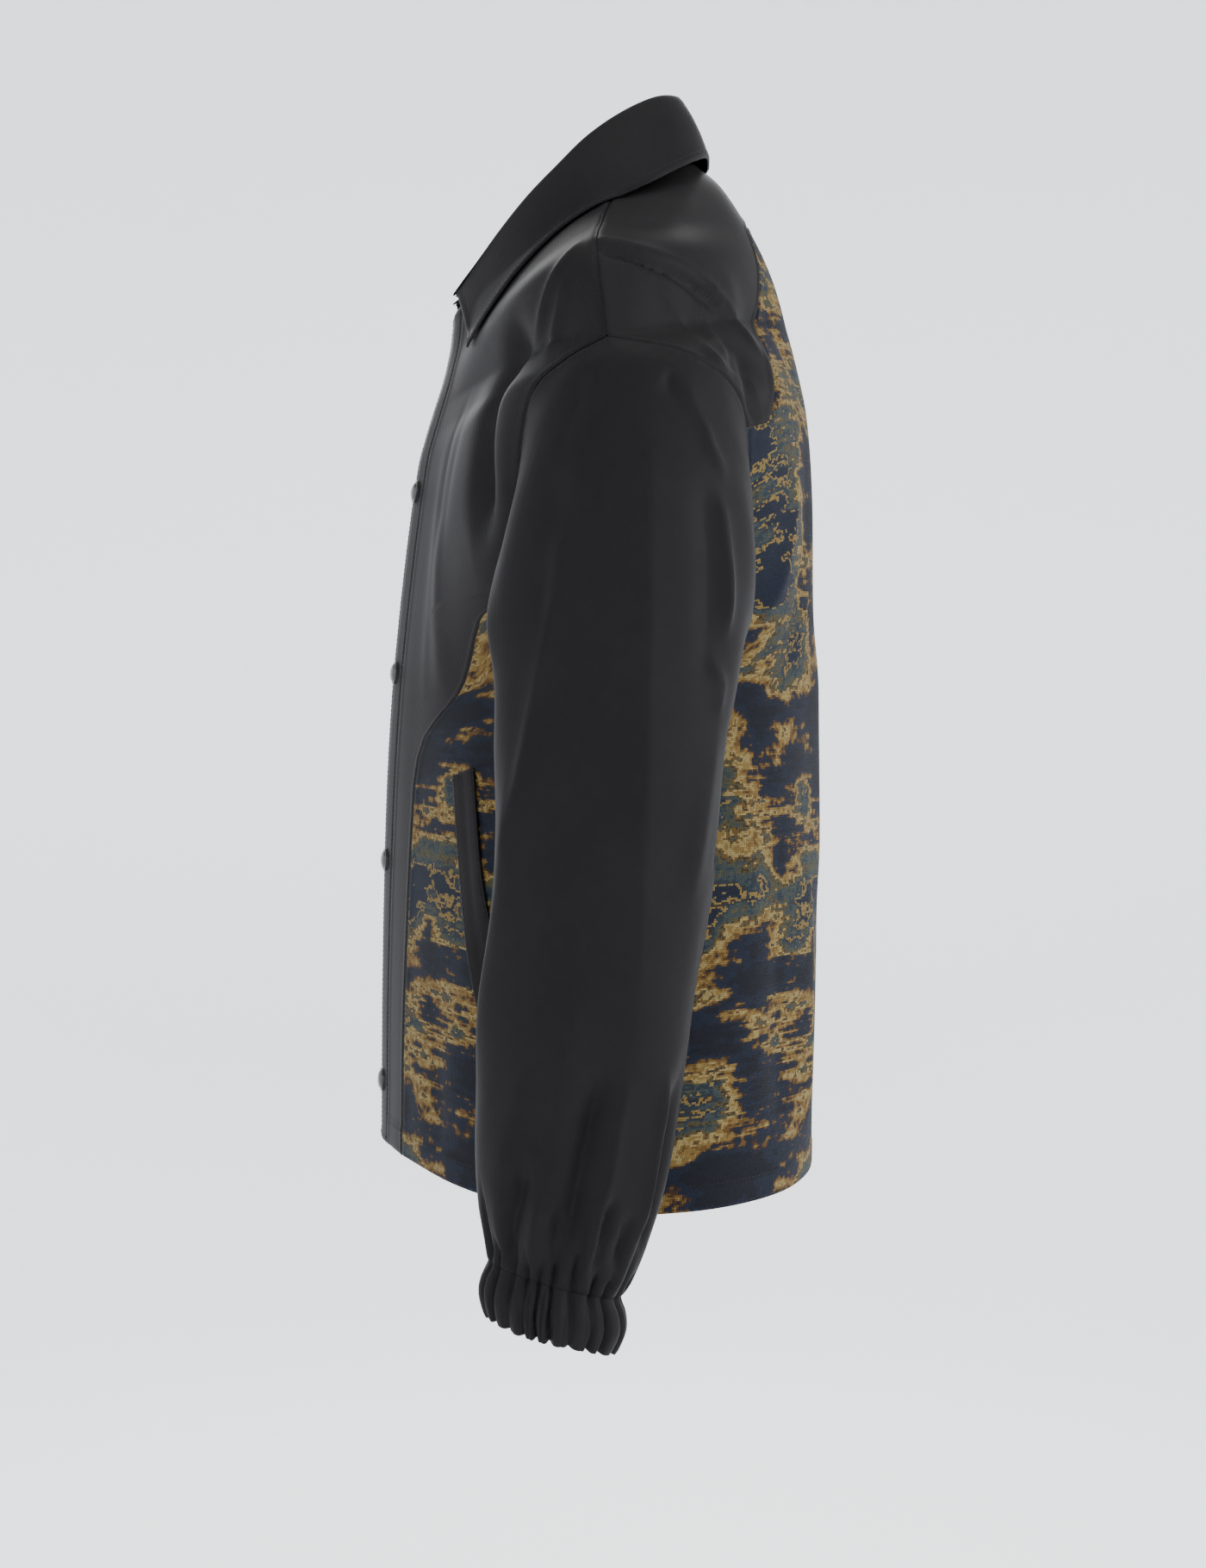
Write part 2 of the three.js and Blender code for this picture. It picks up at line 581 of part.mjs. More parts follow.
function ringPoint(rings, index, angle) {
  const at = (name) => between(rings, name, index);
  const c = Math.cos(angle);
  const s = Math.sin(angle);
  const y = at('halfY') * s;
  return [
    (at('outX') + at('inX')) / 2 + (at('outX') - at('inX')) / 2 * c,
    at('middleY') + y,
    (at('outZ') + at('inZ')) / 2 + (at('outZ') - at('inZ')) / 2 * c - at('drop') * y,
  ];
}

function sleevePoint(index, column) {
  const angle = sleeveColumns[column];
  if (index <= 0) return armholeLoop[column].point;
  const ring = index - 1;
  const point = ringPoint(RINGS, ring, angle);
  const first = ringPoint(RINGS, 0, angle);
  const keep = (1 - ease(index / ARMHOLE_FADE)) * ARMHOLE_KEEP;
  const start = armholeLoop[column].point;
  const shaped = [point[0], point[1] + (start[1] - first[1]) * keep,
    point[2] + (start[2] - first[2] - ARMHOLE_DROP) * keep * ARMHOLE_KEEP_UP];
  const outward = ringOutward(RINGS, ring, shaped);
  const degrees = angle * 180 / Math.PI;
  const fade = ease(index / 2) * (1 - 0.5 * ease(index - RINGS.length + 1));
  let height = foldHeight(SLEEVE_FOLDS, degrees, point[2], MM_PER_DEGREE, 360) * fade;
  const gather = ease((ring - RINGS.length + 4) / 3);
  const wave = Math.cos(SLEEVE_GATHERS * angle + 2 * Math.sin(angle));
  height -= SLEEVE_GATHER_DEPTH * gather * (0.5 + 0.5 * wave);
  if (outward[0] < 0) height = Math.min(height, INNER_RISE);
  return add(shaped, outward, height);
}

function sleevePiece(side, name) {
  const count = RINGS.length;
  const columns = sleeveColumns.length;
  const outer = steps(count, 0, count).map((index) => sleeveColumns.map(
    (_, i) => sleevePoint(index, i)));
  const grid = outer.map((loop, j) => loop.map((point, i) => {
    const along = sub(loop[(i + 1) % columns], loop[(i + columns - 1) % columns]);
    const up = sub(outer[Math.max(j - 1, 0)][i], outer[Math.min(j + 1, count)][i]);
    let normal = unit(cross(along, up));
    const middle = loop.reduce((sum, p) => add(sum, p, 1 / columns), [0, 0, 0]);
    if (dot(normal, sub(point, middle)) < 0) normal = add([0, 0, 0], normal, -1);
    if (j === 0) {
      const { turn, normal: fromBody } = armholeLoop[i];
      normal = unit(add(normal, sub(fromBody, normal), 1 - turn));
    }
    if (j === count) {
      normal = ringOutward(RINGS, count - 1, point);
    }
    return { outer: point, inner: add(point, normal, -WALL) };
  }));
  wallSolid(name, placed(grid, side), BLACK_CLOTH, true);
}

function cuffPiece(side, name) {
  const angles = steps(CUFF_GATHERS * 4, 0, 2 * Math.PI).slice(0, -1);
  const grid = CUFF_RINGS.map((_, index) => angles.map((angle) => {
    const point = ringPoint(CUFF_RINGS, index, angle);
    const outward = ringOutward(CUFF_RINGS, index, point);
    const depth = index === 0 ? CUFF_GATHER_DEPTH * 0.6 : CUFF_GATHER_DEPTH;
    const wave = depth * Math.cos(CUFF_GATHERS * angle) - depth;
    return { outer: add(point, outward, wave), inner: add(point, outward, wave - WALL) };
  }));
  wallSolid(name, placed(grid, side), BLACK_CLOTH, true);
}

// ---- collar ----------------------------------------------------------------------------
// Samples of the body near the neck, to keep the collar clear of it.
const NEAR_NECK_ROW = 7;
const NEAR_NECK_STEPS = 24;
const nearNeck = [leftFront, back].flatMap((half) => steps(
  NEAR_NECK_STEPS, NEAR_NECK_ROW, NECK_ROW).flatMap((row) => steps(NEAR_NECK_STEPS).map((across) => ({
  point: bodyPoint(half, across, row), normal: bodyNormal(half, across, row) }))));

function clearOfBody(point, distance) {
  let near = nearNeck[0];
  let best = Infinity;
  for (const sample of nearNeck) {
    const gap = size(sub(point, sample.point));
    if (gap < best) {
      best = gap;
      near = sample;
    }
  }
  const height = dot(sub(point, near.point), near.normal);
  return height < distance ? add(point, near.normal, distance - height) : point;
}

const collarAt = (name, row) => between(COLLAR, name, row);
const rollAt = (row) => [collarAt('rollX', row), collarAt('rollY', row), collarAt('rollZ', row)];
const edgeAt = (row) => [collarAt('edgeX', row), collarAt('edgeY', row), collarAt('edgeZ', row)];

// Places along half the neck edge from the centre back to the front, with the collar row
// that stands over each.
function neckPlaces() {
  const fromBack = steps(ACROSS_BACK).map((across) => ({
    half: back, across, row: NECK_POINT_ROW * across }));
  const start = acrossFor(leftFront, NECK_ROW, BAND + 1.5 * WALL);
  const overFront = steps(ACROSS_FRONT).slice(1).map((f) => ({
    half: leftFront, across: mix(1, start, f),
    row: mix(NECK_POINT_ROW, COLLAR.length - 1, f) }));
  return [...fromBack, ...overFront];
}

function collarInnerEdge(row) {
  const roll = rollAt(row);
  const outward = unit([edgeAt(row)[0] - roll[0], edgeAt(row)[1] - roll[1], 0]);
  const front = ease((row - COLLAR_FRONT) / 3);
  return add(add(roll, outward, -ROLL_INWARD * (1 - 0.5 * front)), [0, 0, -1],
    ROLL_DOWN * (1 - 0.6 * front));
}

function neckStart(place) {
  const a = clamp(place.across, STEP, 1 - STEP);
  const along = sub(bodyPoint(place.half, a + STEP, NECK_ROW),
    bodyPoint(place.half, a - STEP, NECK_ROW));
  const { upwards } = bodySlopes(place.half, place.across, NECK_ROW);
  return seamStart(place.half, NECK_ROW, place.across, along, upwards, STAND_TURN);
}

function collarPieces() {
  const places = neckPlaces();
  const half = places.map((place) => {
    const foot = neckStart(place);
    const front = ease((place.row - COLLAR_FRONT - 0.5) / 2.5);
    const top = add(collarInnerEdge(place.row), [0, 0.5 * front, -1],
      STAND_GAP.back + STAND_GAP.front * front);
    return steps(2).map((f) => {
      const point = add(foot, sub(top, foot), f);
      const outward = unit([point[0], point[1] + STAND_AXIS, 0]);
      return { outer: point, inner: add(point, outward, -WALL) };
    });
  });
  const around = (lines) => [...lines.slice(1).reverse(), ...lines.map(
    (line) => line.map(mirrorWall))];
  wallSolid('collar_stand', around(half), BLACK_CLOTH);

  const fall = places.map((place) => {
    const roll = rollAt(place.row);
    const edge = edgeAt(place.row);
    const inside = collarInnerEdge(place.row);
    const outward = unit([edge[0] - roll[0], edge[1] - roll[1], 0]);
    const bulge = add(add(roll, sub(edge, roll), COLLAR_BULGE_AT), outward, COLLAR_BULGE);
    const line = [inside, add(roll, outward, -ROLL_IN)];
    for (const t of steps(COLLAR_STEPS)) {
      let point = add([0, 0, 0], roll, (1 - t) ** 2);
      point = add(point, bulge, 2 * t * (1 - t));
      point = add(point, edge, t * t);
      line.push(point);
    }
    const lifted = line.map((point, j) => (
      j > 2 ? clearOfBody(point, COLLAR_CLEAR + WALL * 1.3) : point));
    return lifted.map((point, j) => {
      const before = lifted[Math.max(j - 1, 0)];
      const after = lifted[Math.min(j + 1, lifted.length - 1)];
      return { point, down: sub(after, before) };
    });
  });
  const walls = fall.map((line, i) => line.map(({ point, down }, j) => {
    const before = i === 0 ? mirrorPoint(fall[1][j].point) : fall[i - 1][j].point;
    const after = fall[Math.min(i + 1, fall.length - 1)][j].point;
    const normal = unit(cross(down, sub(after, before)));
    return { outer: point, inner: add(point, normal, WALL) };
  }));
  wallSolid('collar_fall', around(walls), BLACK_CLOTH);
}

// ---- snaps -----------------------------------------------------------------------------
function snapCaps() {
  const profile = SNAP_PROFILE.map(
    ({ radius, height }) => new THREE.Vector2(radius * SNAP_RADIUS, height * SNAP_HEIGHT));
  SNAP_LEVELS.forEach((level, i) => {
    let row = 5;
    for (let k = 0; k < 30; k += 1) {
      row += (level - plainPoint(leftFront, 0, row)[2]) / ROW_HEIGHT;
    }
    const point = bodyPoint(leftFront, 0, row);
    const besideLeft = bodyNormal(leftFront, SEAM_STEP, row);
    const besideRight = bodyNormal(leftFront, -SEAM_STEP, row);
    const normal = unit(add(besideLeft, besideRight));
    const cap = new THREE.LatheGeometry(profile, SNAP_SEGMENTS);
    const turn = new THREE.Quaternion().setFromUnitVectors(
      new THREE.Vector3(0, 1, 0), new THREE.Vector3(...normal));
    const mesh = new THREE.Mesh(cap, new THREE.MeshStandardMaterial(SNAP_METAL));
    mesh.name = `snap_cap_${i + 1}`;
    mesh.quaternion.copy(turn);
    mesh.position.set(...add(point, normal, SEAM * 1.3));
    jacket.add(mesh);
  });
}

// ---- the jacket ------------------------------------------------------------------------
for (const [side, word, half] of [[1, 'left', leftFront], [-1, 'right', rightFront]]) {
  frontPiece(half, side, `front_${word}`);
  bandPiece(half, side, `placket_${word}`);
  sideFrontPiece(half, side, `side_front_${word}`);
  weltPiece(half, side, `pocket_welt_${word}`);
  sleevePiece(side, `sleeve_${word}`);
  cuffPiece(side, `cuff_${word}`);
}
backPieces();
collarPieces();
snapCaps();

export default jacket;
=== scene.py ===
# %% [markdown]
# # A coach jacket round its fixed frame
# A coach jacket is a light snap-front jacket with a shirt collar and elastic cuffs. This one has black
# fronts, yoke, sleeves, collar and cuffs, and side fronts and a back of woven patterned cloth. It is
# shown filled out as it is worn, hollow, with nobody in it. The frame is a set of plain solids that fix
# where every cut piece lies. This lesson replaces each of them with a thin, creased and stitched cloth
# shell.

import math

import bpy
import numpy as np
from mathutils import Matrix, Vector


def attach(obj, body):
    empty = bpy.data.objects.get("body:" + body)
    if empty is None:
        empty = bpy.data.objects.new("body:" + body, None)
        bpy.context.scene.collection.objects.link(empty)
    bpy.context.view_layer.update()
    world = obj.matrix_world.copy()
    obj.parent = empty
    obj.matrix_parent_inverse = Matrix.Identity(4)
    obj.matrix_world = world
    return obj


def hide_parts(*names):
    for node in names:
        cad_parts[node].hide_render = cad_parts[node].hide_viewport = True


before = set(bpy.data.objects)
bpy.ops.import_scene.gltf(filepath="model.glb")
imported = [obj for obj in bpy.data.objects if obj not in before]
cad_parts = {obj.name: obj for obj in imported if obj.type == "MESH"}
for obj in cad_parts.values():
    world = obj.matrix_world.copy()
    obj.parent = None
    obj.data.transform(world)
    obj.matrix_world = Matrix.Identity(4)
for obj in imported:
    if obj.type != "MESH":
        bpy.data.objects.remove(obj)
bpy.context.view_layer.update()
MM = 0.001

# %% [markdown]
# ## Camera
# The jacket is looked at from the wearer's left, from a little in front of the side seam, with the lens
# level at chest height. A long lens keeps the sleeve, which is nearest, from growing too large. A camera
# can be turned by hand or aimed by code. Here it is aimed along one direction, so its place is three
# numbers.

# %% The camera
EYE_DISTANCE = 1.5
EYE_TURN = math.radians(4)
EYE_LEVEL = -0.378
LENS = 50.72
SENSOR = 36


def linked(name, data):
    """A new object in the scene."""
    made = bpy.data.objects.new(name, data)
    bpy.context.scene.collection.objects.link(made)
    return made


def look(thing, place, aim):
    """Put a camera or a light at a place and turn it along a direction."""
    thing.location = place
    thing.rotation_mode = "QUATERNION"
    thing.rotation_quaternion = aim.to_track_quat("-Z", "Y")


def make_camera():
    data = bpy.data.cameras.new("camera")
    data.lens, data.sensor_width = LENS, SENSOR
    camera = linked("camera", data)
    away = Vector((math.cos(EYE_TURN), -math.sin(EYE_TURN), 0))
    look(camera, away * EYE_DISTANCE + Vector((0, 0, EYE_LEVEL)), -away)
    bpy.context.scene.camera = camera
    return camera


camera = make_camera()
print("camera at", tuple(round(v, 3) for v in camera.location))

# %% [markdown]
# ## Colours and nodes
# Paint makers and screens give colours as sRGB hex values, but a renderer adds up light in linear values.
# One function turns the first into the second. Another adds a node with its settings and links, and a
# third blends two colours. That is nearly all the help a material needs.


# %% Helpers for every material
def colour(hex_value):
    parts = [int(hex_value[i : i + 2], 16) / 255 for i in (1, 3, 5)]
    return [p / 12.92 if p <= 0.04045 else ((p + 0.055) / 1.055) ** 2.4 for p in parts] + [1]


def add(tree, kind, inputs=(), **settings):
    """Add one node; inputs maps its sockets to values, or to the nodes or sockets that feed them."""
    made = tree.nodes.new(kind)
    for name, value in settings.items():
        setattr(made, name, value)
    for key, value in dict(inputs).items():
        if isinstance(value, bpy.types.Node):
            value = value.outputs[0]
        if isinstance(value, bpy.types.NodeSocket):
            tree.links.new(value, made.inputs[key])
        else:
            made.inputs[key].default_value = value
    return made


def blend(tree, share, first, second):
    """A colour between two hex values."""
    inputs = {0: share, 6: colour(first), 7: colour(second)}
    return add(tree, "ShaderNodeMix", inputs, data_type="RGBA").outputs[2]


def noise(tree, vector, scale, detail=2.0, **more):
    return add(tree, "ShaderNodeTexNoise", {"Vector": vector, "Scale": scale, "Detail": detail, **more})


def bump(tree, height, strength, distance, **more):
    inputs = {"Height": height, "Strength": strength, "Distance": distance * MM, **more}
    return add(tree, "ShaderNodeBump", inputs)


def empty_material(name):
    material = bpy.data.materials.new(name)
    material.use_nodes = True
    material.node_tree.nodes.clear()
    return material, material.node_tree


def show(tree, settings):
    """Finish a material from the settings of its one shader."""
    shader = add(tree, "ShaderNodeBsdfPrincipled", settings)
    add(tree, "ShaderNodeOutputMaterial", {"Surface": shader})


print("white is", colour("#ffffff")[:3])

# %% [markdown]
# ## Stage
# A photographer would hang a roll of pale paper. A round bowl of the same paper does that for every side:
# a flat floor that curves up into a wall, far enough out for the camera to walk round inside it. It is a
# profile spun about the upright axis.

# %% The pale bowl
FLOOR_LEVEL = -1.35
FLOOR_RADIUS = 2.3
COVE_RADIUS = 1.1
WALL_TOP = 3.0
SPIN_STEPS = 96
PAPER_GLOW = 0.58


def make_bowl():
    bend = [math.radians(a) for a in range(0, 91, 10)]
    profile = [(0.001, 0)] + [
        (FLOOR_RADIUS + COVE_RADIUS * math.sin(a), COVE_RADIUS * (1 - math.cos(a))) for a in bend
    ]
    profile.append((FLOOR_RADIUS + COVE_RADIUS, WALL_TOP))
    points, faces = [], []
    for radius, height in profile:
        for k in range(SPIN_STEPS):
            turn = 2 * math.pi * k / SPIN_STEPS
            points.append((radius * math.cos(turn), radius * math.sin(turn), height + FLOOR_LEVEL))
    for j in range(len(profile) - 1):
        for k in range(SPIN_STEPS):
            a, b = j * SPIN_STEPS + k, j * SPIN_STEPS + (k + 1) % SPIN_STEPS
            faces.append((a, b, b + SPIN_STEPS, a + SPIN_STEPS))
    mesh = bpy.data.meshes.new("paper_bowl")
    mesh.from_pydata(points, [], faces)
    mesh.shade_smooth()
    material, tree = empty_material("matte_paper")
    where = add(tree, "ShaderNodeTexCoord")
    tone = blend(tree, noise(tree, where.outputs["Object"], 0.4), "#eaebee", "#f4f5f7")
    paper = {"Base Color": tone, "Roughness": 0.9, "Emission Color": tone}
    show(tree, {**paper, "Emission Strength": PAPER_GLOW})
    mesh.materials.append(material)
    return linked("paper_bowl", mesh)


bowl = make_bowl()
print("bowl", len(bowl.data.polygons), "faces")

# %% [markdown]
# ## Light
# Black cloth shows its form only by soft reflections. Two tall soft boxes stand before and behind the
# jacket and rake along its folds, a wide one hangs above, a weak one by the camera keeps the shadows
# open, and one lights the far side.

# %% Soft boxes
LIGHTS = {
    # name: (place, width, height, watts)
    "box_front": ((0.9, -1.9, 0.5), 0.8, 2.0, 13),
    "box_back": ((0.6, 1.9, 0.3), 0.8, 2.0, 44),
    "box_above": ((0.2, 0.0, 1.9), 1.8, 1.8, 20),
    "box_camera": ((2.3, 0.3, 0.6), 1.2, 1.2, 9),
    "box_far": ((-1.9, 0.0, 0.9), 1.4, 1.4, 50),
}


def make_light(name, place, width, height, watts):
    data = bpy.data.lights.new(name, "AREA")
    data.shape = "RECTANGLE"
    data.size, data.size_y, data.energy = width, height, watts
    look(linked(name, data), place, Vector((0, 0, EYE_LEVEL)) - Vector(place))


for name, settings in LIGHTS.items():
    make_light(name, *settings)
world = bpy.data.worlds.new("pale_room")
world.use_nodes = True
background = world.node_tree.nodes["Background"].inputs
background["Color"].default_value = colour("#e6e8ea")
background["Strength"].default_value = 0.8
bpy.context.scene.world = world
print(len(LIGHTS), "soft boxes")

# %% [markdown]
# ## Black cloth
# The black pieces are a fine polyester twill, woven and calendered smooth. The eye gets a matte, slightly
# warm black, a little paler along folds, and sees hardly any thread. The twill's diagonal is 0.4 mm apart
# on real cloth. It is drawn at 1.1 mm, so that it just shows. The pattern follows the cloth through its
# own map in metres, and broad faint clouds keep the black from being one flat value.

# %% Black twill
BLACK = "#161516"
BLACK_LIGHT = "#1b1a1b"
TWILL_PITCH = 1.1 * MM
SLUB_SIZE = 9 * MM
CLOUD_SCALE = 18


def twill_material(name, dark, light, sheen=0.0):
    material, tree = empty_material(name)
    cloth = add(tree, "ShaderNodeUVMap", uv_map="cloth")
    place = add(tree, "ShaderNodeTexCoord").outputs["Object"]
    tone = blend(tree, noise(tree, place, CLOUD_SCALE, 3), dark, light)
    ribs = {"Vector": cloth, "Scale": 0.1 / TWILL_PITCH, "Distortion": 0.0}
    rib = add(tree, "ShaderNodeTexWave", ribs, bands_direction="DIAGONAL").outputs[1]
    coarse = bump(tree, noise(tree, place, 1 / SLUB_SIZE, 4), 0.07, 0.8)
    fine = bump(tree, rib, 0.10, 0.3, Normal=coarse)
    matte = {"Base Color": tone, "Roughness": 0.5, "Specular IOR Level": 0.06, "IOR": 1.33}
    show(tree, {**matte, "Normal": fine, "Sheen Weight": sheen, "Sheen Roughness": 0.4})
    return material


black_twill = twill_material("black_polyester_twill", BLACK, BLACK_LIGHT)
thread = twill_material("black_core_spun_thread", "#161617", "#1f1f21", sheen=0.05)
print("materials", black_twill.name, thread.name)

# %% [markdown]
# ## Patterned cloth
# The side fronts and the back are a jacquard, a figured cloth woven from a few coloured yarns, so its
# picture is built of small equal loops and never of smooth paint. It could be drawn as an image. A
# procedure is better here: the map is snapped to a grid of loops, slow noise picks broad blotches, fast
# noise frays their edges, and in some zones long flat noise lays level streaks. A stepped ramp turns the
# sum into one of the yarns. The loops are 1 mm on real cloth and are drawn at 1.5 mm.

# %% Mottled jacquard
YARNS = [
    # (from this value up, sRGB)
    (0.000, "#131c2f"),
    (0.395, "#1c2c48"),
    (0.450, "#5f3d20"),
    (0.460, "#9a7230"),
    (0.474, "#c29c50"),
    (0.500, "#e3c980"),
    (0.520, "#9a7638"),
    (0.533, "#57432a"),
    (0.541, "#74714f"),
    (0.560, "#576668"),
    (0.588, "#394c5b"),
    (0.614, "#5f3d20"),
    (0.621, "#c8a85c"),
    (0.644, "#1c2c48"),
]
LOOP_WIDTH = 1.5
LOOP_HEIGHT = 1.2
BLOTCH = (105, 46)
FRAY = (6.5, 5.0)
CRUMB = (3.4, 2.8)
STREAK = (75, 4.2)
ZONE = (210, 75)


# weights of frayed edges, crumbs and level streaks beside the blotches
FRAY_SHARE, CRUMB_SHARE, STREAK_SHARE = 0.09, 0.06, 0.24
STREAKY = {"From Min": 0.44, "From Max": 0.53}
# yarn brightness in a gap, where shade is painted; painted light added by its swell; tone added by chance
GAP_LIGHT, SWELL_PAINTED_LIGHT, CHANCE_LIGHT = 0.07, 0.13, 0.06


def maths(tree, operation, first, second=0.0, third=0.0):
    return add(tree, "ShaderNodeMath", {0: first, 1: second, 2: third}, operation=operation)


def vectors(tree, operation, first, second=None):
    inputs = {0: first} if second is None else {0: first, 1: second}
    return add(tree, "ShaderNodeVectorMath", inputs, operation=operation)


def noise_over(tree, vector, size, detail, roughness, seed):
    """Noise whose blotches are size[0] by size[1] millimetres."""
    scaled = vectors(tree, "MULTIPLY", vector, (1 / size[0], 1 / size[1], 1))
    return noise(tree, vectors(tree, "ADD", scaled, (seed,) * 3), 1.0, detail, Roughness=roughness)


def jacquard_material():
    material, tree = empty_material("mottled_jacquard")
    cloth = add(tree, "ShaderNodeUVMap", uv_map="cloth")
    flat = vectors(tree, "MULTIPLY", cloth, (1 / MM, 1 / MM, 0))
    loop = vectors(tree, "SNAP", flat, (LOOP_WIDTH, LOOP_HEIGHT, 1))

    def layer(size, detail, roughness, seed):
        return noise_over(tree, loop, size, detail, roughness, seed)

    def centred(value):
        return maths(tree, "SUBTRACT", value, 0.5)

    value = layer(BLOTCH, 4, 0.56, 3.7)
    value = maths(tree, "MULTIPLY_ADD", centred(layer(FRAY, 1, 0.5, 11.2)), FRAY_SHARE, value)
    value = maths(tree, "MULTIPLY_ADD", centred(layer(CRUMB, 0, 0.5, 2.3)), CRUMB_SHARE, value)
    level = maths(tree, "MULTIPLY", centred(layer(STREAK, 2, 0.5, 7.9)), STREAK_SHARE)
    streaky = add(tree, "ShaderNodeMapRange", {"Value": layer(ZONE, 1, 0.5, 5.1), **STREAKY}, clamp=True)
    ramp = add(tree, "ShaderNodeValToRGB", {"Fac": maths(tree, "MULTIPLY_ADD", level, streaky, value)})
    ramp.color_ramp.interpolation = "CONSTANT"
    stops = ramp.color_ramp.elements
    while len(stops) < len(YARNS):
        stops.new(0.99)
    for stop, (start, tone) in zip(stops, YARNS):
        stop.position = start
        stop.color = colour(tone)
    speckle = add(tree, "ShaderNodeTexWhiteNoise", {"Vector": loop}, noise_dimensions="2D")
    within = vectors(tree, "MULTIPLY", flat, (math.pi / LOOP_WIDTH, math.pi / LOOP_HEIGHT, 0))
    split = add(tree, "ShaderNodeSeparateXYZ", {0: vectors(tree, "SINE", within)})
    across, up = (maths(tree, "ABSOLUTE", split.outputs[k]) for k in (0, 1))
    swell = maths(tree, "SQRT", maths(tree, "MULTIPLY", across, up))
    # painted shade and highlight: each loop's colour is lighter on its swell and darker in the gaps
    # between loops
    bright = maths(tree, "MULTIPLY_ADD", swell, SWELL_PAINTED_LIGHT, GAP_LIGHT)
    bright = maths(tree, "MULTIPLY_ADD", speckle, CHANCE_LIGHT, bright)
    yarn = add(tree, "ShaderNodeVectorMath", {0: ramp, "Scale": bright}, operation="SCALE")
    dry = {"Base Color": yarn, "Roughness": 0.8, "Specular IOR Level": 0.15}
    show(tree, {**dry, "Normal": bump(tree, swell, 0.5, 0.5)})
    return material


jacquard = jacquard_material()
print("yarns", len(YARNS))

# %% [markdown]
# ## Snap metal
# The four caps are brass pressed to a dome and lacquered black. Lacquer over metal gives a dark glossy
# skin with one clear highlight, and fine rubs all over vary its gloss and tone.

# %% Lacquered snap
def snap_material():
    material, tree = empty_material("black_lacquered_snap")
    rub = noise(tree, add(tree, "ShaderNodeTexCoord").outputs["Object"], 420, 4)
    gloss = add(tree, "ShaderNodeMapRange", {"Value": rub, "To Min": 0.2, "To Max": 0.42})
    metal = {"Base Color": blend(tree, rub, "#0c0c0d", "#1a1a1b"), "Roughness": gloss, "Metallic": 0.1}
    show(tree, {**metal, "Coat Weight": 0.3, "Coat Roughness": 0.15})
    return material


snap_lacquer = snap_material()
print("material", snap_lacquer.name)

# %% [markdown]
# ## The jacket's sizes
# A pattern cutter works from a table of measures, and so does this script. Each row of a table is one
# level of the jacket, and a smooth curve runs through each column. The sizes are those of the frame, in
# millimetres, so every cloth shell lies on its solid. In the collar's table, roll is the line it folds
# over and edge its free edge. The origin is between the two points where neck and shoulder meet, the
# front faces -Y and the wearer's left is +X.

# %% Sizes of the sewing
WALL = 1.1  # a cloth shell
SEAM = 0.08  # gap between two sewn pieces
BAND = 18  # half the front band
BAND_TURN = 0.4  # share of the front's slope that the band keeps past the centre
UNDERLAP = 2.2  # how far the under band lies behind the upper one
UNDERLAP_FADE = 60
UNDERARM, PANEL, SLEEVE_HEAD, NECK = 3, 4, 8, 12
PANEL_TIP = 0.985
STEP = 1e-3


def table(columns, rows):
    values = np.array(rows, float)
    return {name: values[:, i] for i, name in enumerate(columns.split())}


HALF = "centre_y centre_z slope reach side_x side_y side_z pull_x pull_y pull_z"
FRONT = table(HALF, [
    [-148.5, -617, 10, 130, 200, 0, -632, 0, -76, 0],
    [-147.8, -510, 11, 126, 199, -1, -505, 0, -76, 0],
    [-145.3, -400, 13, 120, 194, -1, -400, 0, -74, 0],
    [-141.5, -325, 14, 114, 183, 0, -316, 0, -68, 0],
    [-136.6, -270, 15, 110, 195, -48, -262, -18, -44, 0],
    [-130.4, -215, 16, 108, 206, -62, -205, -34, -40, 0],
    [-123.4, -165, 16, 104, 217, -57, -153, -42, -34, 0],
    [-118.4, -144, 16, 98, 229, -38, -133.5, -44, -32, 8],
    [-113.0, -126, 16, 90, 237, -15, -121.5, -34, -42, 8],
    [-106.2, -104, 15, 76, 201, -18, -62, -8, -52, -16],
    [-101.7, -84, 14, 58, 152, -11, -34, -2, -48, -22],
    [-100.3, -69, 10, 46, 113, -4, -13, 2, -44, -20],
    [-99.7, -59, 6, 40, 80, 2, 2, 2, -42, -24],
])
BACK = table(HALF, [
    [138.3, -627, 0, 112, 200, 0, -632, 0, 86, 0],
    [141.5, -510, 0, 112, 199, -1, -505, 0, 88, 0],
    [142.4, -400, 0, 110, 194, -1, -400, 0, 88, 0],
    [141.4, -322, 0, 108, 183, 0, -316, 0, 84, 0],
    [138.5, -262, 0, 108, 195, 52, -262, -16, 50, 0],
    [136.5, -198, 0, 108, 204, 69, -205, -36, 42, 2],
    [133.0, -140, 0, 108, 213, 66, -154, -44, 36, 8],
    [129.6, -106, 0, 104, 233, 34, -130.5, -48, 36, 14],
    [124.0, -75, 0, 98, 237, -15, -121.5, -34, 52, 14],
    [114.5, -42, 0, 86, 201, -18, -62, -8, 62, -2],
    [99.5, -7, 0, 66, 152, -11, -34, -2, 56, 0],
    [80.0, 25, 0, 46, 113, -4, -13, 2, 44, 6],
    [60.0, 41, 0, 36, 80, 2, 2, 2, 36, 14],
])
SIDE_FRONT_SEAM = table("z x", [
    [-640, 62], [-431, 63], [-378, 63], [-361, 67], [-348, 76], [-337, 93], [-327, 109],
    [-316, 121], [-304, 130], [-290, 140], [-277, 152], [-266, 178], [-255, 200],
])
YOKE_SEAM = table("x z", [
    [0, 1], [30, -4], [58, -17], [78, -36], [97, -58], [114, -81], [141, -108], [165, -132],
    [179, -149], [190, -161], [208, -167], [240, -170],
])
RING = "out_x out_z in_x in_z middle_y half_y drop"
